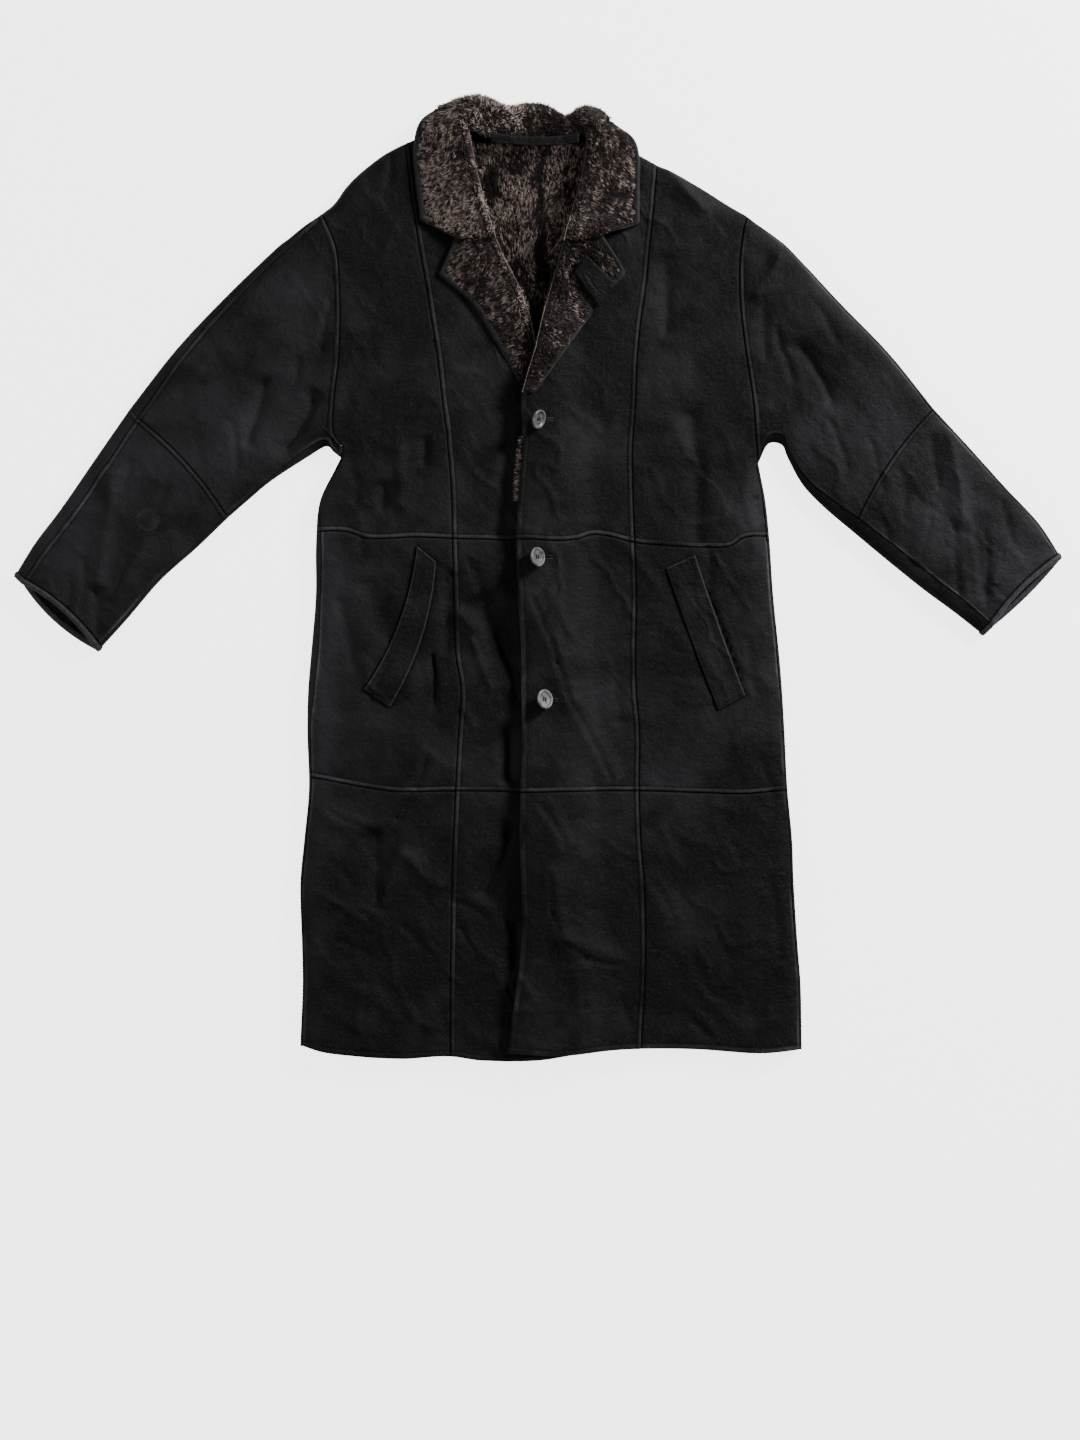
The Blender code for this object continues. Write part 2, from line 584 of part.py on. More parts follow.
def sleeve_grid(side, part, us, ts, cuff_bow, seam=False):
    """Rows along the sleeve and columns from its outer to its inner edge."""
    rows = SLEEVES[side][part]
    ends = along(rows, Section._fields, np.asarray(ts, float))
    outer, inner = ends[:, 0:2], ends[:, 2:4]
    if seam:
        run = (inner - outer) / np.hypot(*(inner - outer).T)[:, None]
        outer, inner = outer + run * ends[:, 4:5], inner - run * ends[:, 5:6]
    u, t = np.asarray(us, float)[None, :, None], np.asarray(ts, float)[:, None, None]
    xy = outer[:, None] * (1 - u) + inner[:, None] * u

    def bow(at, height):
        run = inner[at] - outer[at]
        normal = np.array([-run[1], run[0]]) / np.hypot(*run) * (1 if side == "right" else -1)
        return normal[None, None] * height * 4 * u * (1 - u)

    if part == "upper":
        hole = armhole(side)[None]
        ends_line = rows[0]
        straight = np.array([ends_line.outer_x, ends_line.outer_y]) * (1 - u) + np.array(
            [ends_line.inner_x, ends_line.inner_y]
        ) * u
        first = hole - (xy[0:1] if seam else straight)
        last = bow(-1, ELBOW_BOW)
    else:
        first, last = bow(0, ELBOW_BOW), bow(-1, cuff_bow)
    fade_in, fade_out = (1 - t) ** 2, t**2
    return xy + first * fade_in + last * fade_out


UPPER_STEPS = [0, 0.036, 0.045] + list(np.linspace(0.12, 1, 10))
LOWER_STEPS = [0, 0.022, 0.029] + list(np.linspace(0.12, 1, 8))


def make_sleeve(side):
    for part, ts in (("upper", UPPER_STEPS), ("lower", LOWER_STEPS)):
        for face in ("back", "front"):
            bow = CUFF_BOW[side][face]
            ends = np.array(ts)
            if part == "lower":
                ends = ends * (1 - CUFF_BINDING / LOWER_LENGTH)
            if face == "front":
                xy = inset(sleeve_grid(side, part, ARM_STEPS, ends, bow, seam=True))
                top = upper_face(xy) + folds(xy)
                top[:2] += LAP_LIFT
                bottom = np.full(top.shape, FRONT_Z)
            else:
                xy, top = wrapped_back(side, part, ends, bow)
                bottom = under_face(xy)
            wall(f"sleeve_{side}_{part}_{face}", xy, top, bottom, flat_under=face == "front")


def wrapped_back(side, part, ts, bow):
    """The back of a sleeve: a plate under the front, with both sides raised round it."""
    full = sleeve_grid(side, part, ARM_STEPS, ts, bow)
    seam = sleeve_grid(side, part, ARM_STEPS, ts, bow, seam=True)
    columns, tops = [], []
    count = len(ts)
    for first, second, step in ((0, 1, 1), (-1, -2, -1)):
        edge, line = full[:, first], seam[:, first]
        width = np.hypot(*(line - edge).T)
        folded = wraps(width)
        run = np.where((width > 0.5)[:, None], line - edge, full[:, second] - edge)
        unit = run / np.hypot(*run.T)[:, None]
        width = np.maximum(width, LEAST_WRAP)[:, None]
        strip = np.stack([edge + unit * w for w in (0, 0.45 * width, width - GAP / 2, width + GAP / 2)], 1)
        raised = upper_face(strip)
        raised = np.where(folded[:, None], raised, WALL)
        raised[:, 3] = WALL
        columns.append(strip[:, ::step])
        tops.append(raised[:, ::step])
    plate = seam[:, 1:-1]
    xy = inset(np.concatenate([columns[0], plate, columns[1]], axis=1))
    top = np.concatenate([tops[0], np.full((count, plate.shape[1]), WALL), tops[1]], axis=1)
    return xy, top


def make_cuff(side):
    """The bindings of a cuff: one on the front rim, one on the back rim that shows past it."""
    start = 1 - CUFF_BINDING / LOWER_LENGTH
    for face, bow in CUFF_BOW[side].items():
        ts = np.array([start, start + 0.3 * (1 - start), start + 0.7 * (1 - start), 1.0])
        if face == "front":
            xy = inset(sleeve_grid(side, "lower", ARM_STEPS, ts, bow, seam=True))
            top = upper_face(xy) + BINDING_LIFT
            top[-1] -= 3
            bottom = np.full(top.shape, FRONT_Z)
            bottom[-1] += 1.5
            top = np.maximum(top, bottom + 1)
        else:
            xy, top = wrapped_back(side, "lower", ts, bow)
            bottom = under_face(xy)
            bottom[-1] += 2
            top[-1] -= 1.5
            top = np.maximum(top, bottom + 1)
        wall(f"cuff_{side}_{face}", xy, top, bottom, BOUND)


# Collar and lapels

ROLL_STEPS = [0, 0.2, 0.45, 0.7, 0.88, 1]  # from the edge to the crest
TURN_STEPS = [0.3, 0.62, 0.86, 1]  # and on to the inner edge


def half_steps(last):
    """Every section of a roll and one halfway to the next, as far as the last."""
    return np.arange(0, last + 0.25, 0.5)


def rolled(rows, ts, width=0.0):
    """The grid of a rolled piece and its upper face, its edge drawn in by width."""
    ends = along(rows, Roll._fields, np.asarray(ts, float))
    edge, crest, inner = ends[:, 0:2], ends[:, 2:4], ends[:, 4:6]
    run = (crest - edge) / np.hypot(*(crest - edge).T)[:, None]
    edge = edge + run * np.asarray(width, float).reshape(-1, 1)
    columns = [edge + (crest - edge) * u for u in ROLL_STEPS]
    columns += [crest + (inner - crest) * u for u in TURN_STEPS]
    tops = [ends[:, 6] + (ends[:, 7] - ends[:, 6]) * quarter(u, 1.0) for u in ROLL_STEPS]
    tops += [ends[:, 8] + (ends[:, 7] - ends[:, 8]) * np.sqrt(1 - u**2) for u in TURN_STEPS]
    return np.stack(columns, 1), np.stack(tops, 1)


def lie_on(xy, top, names, thinnest=2.5, slope=1.0):
    """Puts a rolled piece on what is under it, at least as thick everywhere as thinnest."""
    bottom = drape(xy, names, slope, flat=21, reach=33)
    return np.maximum(top, bottom + thinnest), bottom


def make_collar(side):
    under = [n for n in solids if n.startswith(("front", "back", "lapel"))]
    last = len(COLLAR[side]) - 1
    ends_at = BINDING_ENDS / last
    bound = np.append(half_steps(int(BINDING_ENDS)) / last, ends_at)
    ts = np.concatenate([bound, np.linspace(ends_at, 1, 10)[1:]])
    width = np.where(ts <= ends_at, BINDING + GAP, 0)
    xy, top = rolled(COLLAR[side], ts, width)
    top, bottom = lie_on(inset(xy), top, under)
    wall(f"collar_{side}", inset(xy), top, bottom, WOOL)
    bind(f"collar_binding_{side}", COLLAR[side], bound, under)


def make_lapel(side):
    under = [n for n in solids if n.startswith(("front", "back", "lapel", "collar"))]
    ts = half_steps(len(LAPEL[side]) - 1) / (len(LAPEL[side]) - 1)
    xy, top = rolled(LAPEL[side], ts, np.full(len(ts), BINDING + GAP))
    top, bottom = lie_on(inset(xy), top, under)
    wall(f"lapel_{side}", inset(xy), top, bottom, WOOL)
    bind(f"lapel_binding_{side}", LAPEL[side], ts, under)


def bind(name, rows, ts, under):
    ends = along(rows, Roll._fields, ts)
    edge, crest = ends[:, 0:2], ends[:, 2:4]
    run = (crest - edge) / np.hypot(*(crest - edge).T)[:, None]
    xy = np.stack([edge + run * w for w in (0, 2.2, BINDING - 2, BINDING)], 1)
    top = np.stack([ends[:, 6] + lift for lift in (-4.0, BINDING_LIFT, BINDING_LIFT, 0.0)], 1)
    top, bottom = lie_on(inset(xy), top, under)
    wall(name, inset(xy), top, bottom, BOUND)


# Pockets, buttons and small pieces


def patch(corners, us, vs, bow=0.0):
    """A grid over a four-cornered patch, whose long sides curve by bow."""
    a, b, c, d = (np.array(corner, float) for corner in corners)
    u, v = (part[..., None] for part in np.meshgrid(us, vs))
    xy = (a * (1 - u) + b * u) * (1 - v) + (d * (1 - u) + c * u) * v
    run = (c + d - a - b) / 2
    normal = np.array([run[1], -run[0]]) / np.hypot(*run)
    return xy + normal * bow * 4 * v * (1 - v)


def make_patch(name, corners, thick, under, bow=0.0, us=(0, 0.08, 0.5, 0.92, 1), steps=8):
    vs = [0] + list(np.linspace(0.02, 0.98, steps)) + [1]
    xy = patch(corners, us, vs, bow)
    bottom = drape(xy, under, slope=0.3, flat=13, reach=18)
    top = bottom + thick
    wall(name, xy, top, bottom, LEATHER if thick > TAB_THICK else BOUND)


def make_button(number, button):
    """A dished disc with a raised rim on a shank of thread, tilted as it hangs in its hole."""
    profile = [(r * BUTTON_ACROSS / 2, z * BUTTON_THICK) for r, z in BUTTON_PROFILE]
    profile += [(SHANK_ACROSS / 2, 0), (SHANK_ACROSS / 2, -SHANK_HIGH), (0, -SHANK_HIGH)]
    points, rings = [], []
    for radius, z in profile:
        if radius == 0:
            rings.append([len(points)])
            points.append((0, 0, z))
            continue
        rings.append(list(range(len(points), len(points) + BUTTON_SIDES)))
        turn = np.arange(BUTTON_SIDES) * 2 * pi / BUTTON_SIDES
        points += [(radius * cos(a), radius * sin(a), z) for a in turn]
    faces = []
    for one, other in zip(rings, rings[1:]):
        for k in range(BUTTON_SIDES):
            a, b = one[k % len(one)], one[(k + 1) % len(one)]
            c, d = other[(k + 1) % len(other)], other[k % len(other)]
            faces.append(tuple(dict.fromkeys((a, b, c, d))))
    lean = Matrix.Rotation(radians(button.heading), 3, "Z") @ Matrix.Rotation(radians(button.tilt), 3, "Y")
    points = np.array(points)
    disc = points[:, 2] > -0.5 * SHANK_HIGH
    points[disc] = [tuple(lean @ Vector(p)) for p in points[disc]]
    spot = np.array([[[button.x, button.y]]])
    names = [n for n in solids if n.startswith("front")]
    floor = float(drape(spot, names, slope=0, flat=3, reach=3)[0, 0])
    lowest = min(p[2] for p in points[disc])
    rise = max(SHANK_HIGH, LAY - lowest + 1.5)
    points[~disc, 2] = -rise
    add_piece(f"button_{number}", points + (button.x, button.y, floor + rise), faces, HORN)


def main():
    for obj in list(bpy.data.objects):
        bpy.data.objects.remove(obj)
    make_back()
    make_front("right")
    make_lapel("right")
    make_front("left")
    make_lapel("left")
    make_collar("right")
    make_collar("left")
    for side in ("right", "left"):
        make_sleeve(side)
        make_cuff(side)
    fronts = [n for n in solids if n.startswith("front")]
    for side in ("right", "left"):
        make_patch(f"pocket_welt_{side}", WELTS[side], WELT_THICK, fronts, WELT_BOW[side])
    make_patch("lapel_tab", LAPEL_TAB, TAB_THICK, ["lapel_left", "lapel_binding_left"], steps=4)
    necks = [n for n in solids if n.startswith(("back", "collar"))]
    make_patch("hanger_loop", LOOP, LOOP_THICK, necks, steps=8, us=(0, 0.3, 0.7, 1))
    for number, button in enumerate(BUTTONS, 1):
        make_button(number, button)


main()
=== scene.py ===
from math import cos, pi, radians, sin

import bmesh
import bpy
import numpy as np
from mathutils import Matrix, Vector
from mathutils.bvhtree import BVHTree
from mathutils.kdtree import KDTree


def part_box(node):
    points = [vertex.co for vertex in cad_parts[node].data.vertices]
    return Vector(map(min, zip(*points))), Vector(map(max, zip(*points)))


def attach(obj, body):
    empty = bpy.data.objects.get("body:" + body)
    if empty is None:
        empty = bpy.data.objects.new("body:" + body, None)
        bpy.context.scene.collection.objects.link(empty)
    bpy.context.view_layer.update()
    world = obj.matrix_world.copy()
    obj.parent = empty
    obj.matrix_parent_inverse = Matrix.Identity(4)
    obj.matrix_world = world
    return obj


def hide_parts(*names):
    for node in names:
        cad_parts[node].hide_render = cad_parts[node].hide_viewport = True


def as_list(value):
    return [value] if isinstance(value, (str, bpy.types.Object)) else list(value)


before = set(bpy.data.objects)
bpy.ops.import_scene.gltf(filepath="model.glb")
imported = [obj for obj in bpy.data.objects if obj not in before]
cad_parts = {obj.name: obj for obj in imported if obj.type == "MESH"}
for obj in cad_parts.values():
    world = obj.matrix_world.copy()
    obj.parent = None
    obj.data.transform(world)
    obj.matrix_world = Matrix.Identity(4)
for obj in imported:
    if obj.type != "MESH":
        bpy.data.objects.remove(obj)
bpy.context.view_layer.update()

mm = 0.001  # the cut below is in millimetres, a mesh is made in metres
body = "root"


def report(text):
    print("coat:", text)


def linear(hexColour):  # an sRGB hex colour as the linear numbers that a shader takes
    parts = [int(hexColour[i:i + 2], 16) / 255 for i in (0, 2, 4)]
    return tuple(p / 12.92 if p <= 0.04045 else ((p + 0.055) / 1.055) ** 2.4 for p in parts) + (1.0,)


def addNode(tree, kind, settings=None, values=None, links=None):
    node = tree.nodes.new(kind)
    for name, value in (settings or {}).items():
        setattr(node, name, value)
    for name, value in (values or {}).items():
        node.inputs[name].default_value = value
    for name, source in (links or {}).items():
        tree.links.new(source, node.inputs[name])
    return node


# Camera, floor and light

shot = {"longSide": 1.872, "x": 0.0026, "y": -0.184, "lens": 85.0, "sensor": 36.0, "coatHeight": 0.013}


def makeCamera():
    camera = bpy.data.cameras.new("shotFromAbove")
    camera.lens = shot["lens"]
    camera.sensor_width = shot["sensor"]
    camera.clip_end = 20
    holder = bpy.data.objects.new("shotFromAbove", camera)
    away = shot["lens"] / shot["sensor"] * shot["longSide"]
    holder.location = (shot["x"], shot["y"], shot["coatHeight"] + away)
    bpy.context.scene.collection.objects.link(holder)
    bpy.context.scene.camera = holder


softboxes = {  # x, y, z, side in metres, watts: the key comes from the upper right
    "key": (2.5, 1.9, 1.7, 0.9, 165),
    "fill": (-2.4, 0.3, 1.5, 1.4, 20),
    "foot": (-0.2, -2.6, 1.6, 1.4, 9),
}
studio = {"floorColour": "F2F2F2", "floorGlow": 3.4, "worldColour": "FFFFFF", "worldStrength": 0.08}


def makeLights():
    for name, (x, y, z, side, watts) in softboxes.items():
        light = bpy.data.lights.new(name, "AREA")
        light.size = side
        light.energy = watts
        holder = bpy.data.objects.new(name, light)
        holder.location = (x, y, z)
        aim = Vector((shot["x"], -0.02, 0)) - holder.location
        holder.rotation_euler = aim.to_track_quat("-Z", "Y").to_euler()
        bpy.context.scene.collection.objects.link(holder)
    world = bpy.data.worlds.new("studio")
    world.use_nodes = True
    sky = world.node_tree.nodes["Background"]
    sky.inputs["Color"].default_value = linear(studio["worldColour"])
    sky.inputs["Strength"].default_value = studio["worldStrength"]
    bpy.context.scene.world = world


def makeFloor():
    size = 9.0
    corners = [(-size, -size, 0), (size, -size, 0), (size, size, 0), (-size, size, 0)]
    mesh = bpy.data.meshes.new("paperFloor")
    mesh.from_pydata(corners, [], [(0, 1, 2, 3)])
    paper = bpy.data.materials.new("whiteStudioPaper")  # matt, a little brighter than the light alone
    paper.use_nodes = True
    shader = paper.node_tree.nodes["Principled BSDF"]
    shader.inputs["Base Color"].default_value = linear(studio["floorColour"])
    shader.inputs["Roughness"].default_value = 0.9
    shader.inputs["Emission Color"].default_value = linear("FFFFFF")
    seen = addNode(paper.node_tree, "ShaderNodeLightPath").outputs["Is Camera Ray"]
    glow = addNode(paper.node_tree, "ShaderNodeMath", {"operation": "MULTIPLY"}, {1: studio["floorGlow"]},
                   {0: seen})  # the glow shows and lights nothing
    paper.node_tree.links.new(glow.outputs[0], shader.inputs["Emission Strength"])
    mesh.materials.append(paper)
    floor = bpy.data.objects.new("paperFloor", mesh)
    bpy.context.scene.collection.objects.link(floor)


# The cut. Left and right are the wearer's own, so the right side lies at -X. The same cut as the frame's.

bodyColumns = "y rightSide rightPrincess underEdge overEdge leftPrincess leftSide".split()
bodyRows = np.array([
    (-640, -309, -114, 53, -39, 134, 344), (-608, -309, -114, 52, -38, 134, 343),
    (-527, -306, -114, 47, -28, 138, 341.5), (-475, -307, -113, 42, -22, 139, 337.5),
    (-395, -309, -112, 36, -22, 137, 332.5), (-340, -304, -110, 33, -24, 133, 330.5),
    (-275, -298, -107, 31, -23, 131, 324.5), (-197, -300, -103, 29, -21, 131, 320.5),
    (-146, -299, -100, 29, -22, 127, 317.5), (-97, -295, -107, 30, -22, 126, 313.5),
    (-23, -289, -109, 30, -26, 127, 306), (50, -288.5, -111, 31, -28, 125, 301),
    (102, -283, -112, 28, -26, 123, 295.5), (150, -260, -115, 25, -22, 122, 286.5),
    (168, -253, -117, 24, -21, 122, 284), (184, -264, -118, 21, -20, 123, 282.5),
    (229, -265, -124, 10, -22, 126, 279), (282, -259, -130, 1, -9, 128, 271),
    (334, -257, -138, -9, 3, 133, 264), (383, -258, -146, -26, 17, 140, 261),
    (428, -262, -154, -48, 31, 144, 263), (474, -281, -161, -64, 42, 149, 273),
    (520, -300, -167, -76, 55, 153, 300), (600, -330, -178, -92, 62, 161, 340),
], float)
hem = {
    "right": [(-309, -607), (-283, -615), (-257, -619), (-179, -624), (-114, -621), (-75, -626), (3, -626),
              (53, -618)],
    "left": [(-39, -615), (29, -619), (81, -614), (133, -611), (211, -612), (289, -617), (344, -612)],
}
thighSeam = {
    "right": [(-300, -257), (-259, -265), (-216, -273), (-179, -277), (-110, -276), (42, -279)],
    "left": [(-23, -278), (127, -276), (226, -279), (264, -280), (325.5, -275)],
}
waistSeam = {
    "right": [(-287, 61), (-248, 60), (-223, 52), (-158, 53), (-111, 51), (35, 49)],
    "left": [(-27, 50), (47, 49), (70, 56), (87, 55), (125, 46), (164, 42), (217, 40), (251, 42), (264, 51),
             (301, 55)],
}
shoulder = {
    "right": [(-281, 474), (-265, 487), (-250, 508), (-230, 528), (-203, 549), (-164, 569), (-121, 584),
              (-85, 588)],
    "left": [(60, 586), (100, 567), (133, 549), (151, 539), (174, 528), (211, 508), (244, 487), (273, 470)],
}
backNeck = [(-121, 584), (-100, 588), (-62, 582), (-13, 577), (44, 578), (72, 578), (90, 573), (110, 562)]
armpit = {"right": 157.0, "left": 150.0}
sideWrap = {  # how far inside the outline the side seams run: y, width
    "right": [(-640, 3), (-260, 3), (-197, 4), (-146, 8), (-97, 9), (-23, 6), (40, 7), (80, 3.5), (150, 3),
              (184, 3)],
    "left": [(-640, 3), (184, 3)],
}
# Sleeve sections: outer x and y, inner x and y, and how far in the seams run from either side.
sleeveRows = {
    "right": {
        "upper": [(-281, 474, -256, 157, 4, 4), (-303, 459, -266, 165, 6, 6), (-324, 442, -276, 172, 7, 9),
                  (-345, 425, -300, 158, 8, 10), (-409, 363, -346, 128, 10, 4),
                  (-471, 297, -376, 103, 13, 3), (-531, 220, -403, 79.5, 16, 3)],
        "lower": [(-531, 220, -403, 79.5, 16, 3), (-576, 155, -443.5, 40.5, 17, 3),
                  (-620, 91, -491, -2, 17, 3), (-654, 46, -534, -52, 16, 3), (-681, 2, -573, -95, 14, 3)],
    },
    "left": {
        "upper": [(273, 470, 286, 150, 3, 8), (293, 456, 299, 175, 3, 14), (312, 442, 317, 174, 3, 14),
                  (331, 425, 325, 157, 3, 10), (391, 360, 344, 122.5, 3, 10), (456, 293, 372.5, 92.5, 3, 13),
                  (514, 221, 406, 64, 3, 16)],
        "lower": [(514, 221, 406, 64, 3, 16), (563, 168, 454, 24, 3, 19), (609, 117, 500, -13, 3, 19),
                  (651, 72, 542, -44, 3, 18), (681, 26, 580, -74, 3, 15)],
    },
}
# Roll sections of collar and lapels: edge x y, crest x y, inner x y, and the heights there.
collarRows = {
    "right": [(-108, 440, -66, 441, -53, 439, 31, 36, 14), (-145, 460, -75, 469, -63, 469, 31, 37, 15),
              (-153, 464, -77, 476, -65, 476, 31, 37, 15), (-154, 473, -79, 484, -67, 484, 31, 37, 15),
              (-159, 512, -89, 525, -77, 525, 31, 38, 15), (-162, 552, -98, 567, -86, 567, 30, 38, 16),
              (-156, 588, -102, 592, -87, 582, 24, 38, 18), (-139, 606, -97, 603, -77, 575, 14, 36, 18),
              (-109, 620, -86, 608, -64, 573, 12, 33, 17), (-76, 626, -70, 609, -52, 570, 11, 31, 16),
              (-40, 612, -40, 600, -33, 567, 10, 28, 15),
              (-13.75, 616, -13.75, 602, -13.75, 566, 10, 27, 15)],
    "left": [(84, 443, 45, 436, 32, 434, 43, 47, 16), (123, 455, 53, 468, 40, 466, 34, 41, 15),
             (131, 459, 55, 476, 42, 474, 33, 40, 15), (132, 468, 57, 485, 45, 484, 33, 40, 15),
             (132, 508, 67, 521, 55, 521, 31, 38, 15), (132, 545, 74, 564, 62, 564, 30, 38, 16),
             (124, 571, 77, 586, 57, 577, 24, 38, 18), (101, 589, 70, 595, 52, 573, 14, 36, 18),
             (81, 607, 62, 601, 47, 571, 12, 33, 17), (60, 612, 53, 601, 39, 570, 11, 31, 16),
             (38, 599, 36, 590, 24, 567, 10, 28, 15), (12, 612, 12, 599, 7, 566, 10, 28, 15),
             (-13.75, 616, -13.75, 602, -13.75, 566, 10, 27, 15)],
}
lapelRows = {
    "right": [(-108, 440, -66, 441, -53, 439, 31, 36, 14), (-126, 400, -56, 419, -44, 419, 31, 36, 14),
              (-128, 393, -54, 414, -42, 414, 31, 36, 14), (-123, 388, -51, 409, -39, 409, 31, 36, 14),
              (-106, 374, -42, 390, -30, 391, 31, 36, 14), (-84, 353, -29, 362, -17, 364, 31, 36, 14),
              (-55, 305, -15, 315, -4, 316, 29, 32, 14), (-25, 255, -7, 272, 2, 274, 26, 27, 14)],
    "left": [(84, 443, 45, 436, 32, 434, 43, 47, 16), (111, 401, 39, 417, 26, 414, 33, 40, 15),
             (113, 394, 38, 412, 25, 409, 33, 40, 15), (108, 388, 36, 406, 23, 403, 33, 40, 15),
             (95, 374, 31, 388, 18, 385, 33, 40, 15), (76, 350, 19, 347, 6, 342, 33, 41, 15),
             (47, 309, 9, 306, -3, 302, 34, 44, 28), (17, 267, -5, 266, -15, 262, 36, 44, 30),
             (-4, 237, -14, 241, -21, 239, 35, 40, 30)],
}
bindingEnds = 7.2  # the collar's binding runs to just past this section
cut = {
    "gap": 0.3, "wall": 11.0, "frontZ": 11.5, "puff": 3.0, "puffReach": 55.0, "foldRadius": 22.0,
    "underRadius": 11.0, "lowestSide": 7.5, "highestSide": 12.5, "hang": 8.0, "centreBack": -2.0,
    "elbowBow": 8.0, "lowerLength": 215.0, "binding": 8.5,
    "cuffBinding": 9.0, "tier": 325.0, "leastWrap": 2.4, "neckTuck": 3.0,
}
cuffBow = {"right": {"front": 8.5, "back": -8.5}, "left": {"front": 7.0, "back": -3.5}}

# Folds that the solids have too: x0 y0 x1 y1, half width, height (a trough below zero), bow sideways.
largeFolds = [
    (-74, -32, -29, -122, 19, -4.6, 4), (-223, -10, -198, -72, 16, -3, 3),
    (-104, -45, -86, -67, 10, 3, 0), (-36, -197, -36, -258, 14, -4, 0), (-143, -231, -205, -332, 14, 3, 0),
    (-274, -302, -205, -332, 13, 2.5, 0), (-208, -338, -208, -422, 18, -3.5, 0),
    (-182, -358, -202, -422, 12, 3, 0), (-182, -356, -129, -400, 12, 2.5, 0),
    (-31, -328, -70, -409, 16, -5, 0), (-31, -448, -31, -506, 15, -4, 0),
    (-226, -536, -234, -580, 14, 2.5, 0),
    (-181, 169, -172, 91, 12, 2, 4), (-150, 178, -153, 150, 10, -2, 2), (-201, 118, -203, 91, 12, -2, 2),
    (-113, 3, -123, -90, 9, -2.2, 0), (-6, -25, 44, -159, 14, 2.5, 0), (44, -159, 98, -263, 13, 2.5, 0),
    (3, -290, 36, -348, 13, 2.5, 0), (13, -384, 31, -470, 12, 2.5, 0), (31, -470, 109, -501, 13, 3, 0),
    (56, -509, 62, -600, 12, 2.5, 0), (146, -387, 173, -443, 14, 2, 0), (215, -470, 231, -522, 14, 2, 0),
    (165, 409, 165, 323, 20, -2.5, 0), (196, 210, 208, 51, 20, -2.5, 0), (168, 532, 212, 476, 13, 3, 0),
    (-291, 232, -330, 168, 16, -5, 0), (-356, 255, -376, 176, 14, -3.5, 0),
    (-376, 358, -356, 340, 13, 2.5, 0),
    (-554, 137, -569, -3, 13, 3, 0), (-502, 72, -547, -23, 14, 3, 0), (-573, -16, -573, -73, 12, -2.5, 0),
    (311, 419, 280, 366, 14, 3, 0), (341, 301, 380, 229, 16, -3.5, 0), (445, 252, 421, 229, 13, 2.5, 0),
    (532, 187, 551, 72, 14, 3, 0), (509, 80, 494, 27, 13, 3, 0), (568, 72, 575, -20, 12, -2.5, 0),
    (619, 27, 593, -3, 12, 2.5, 0),
]
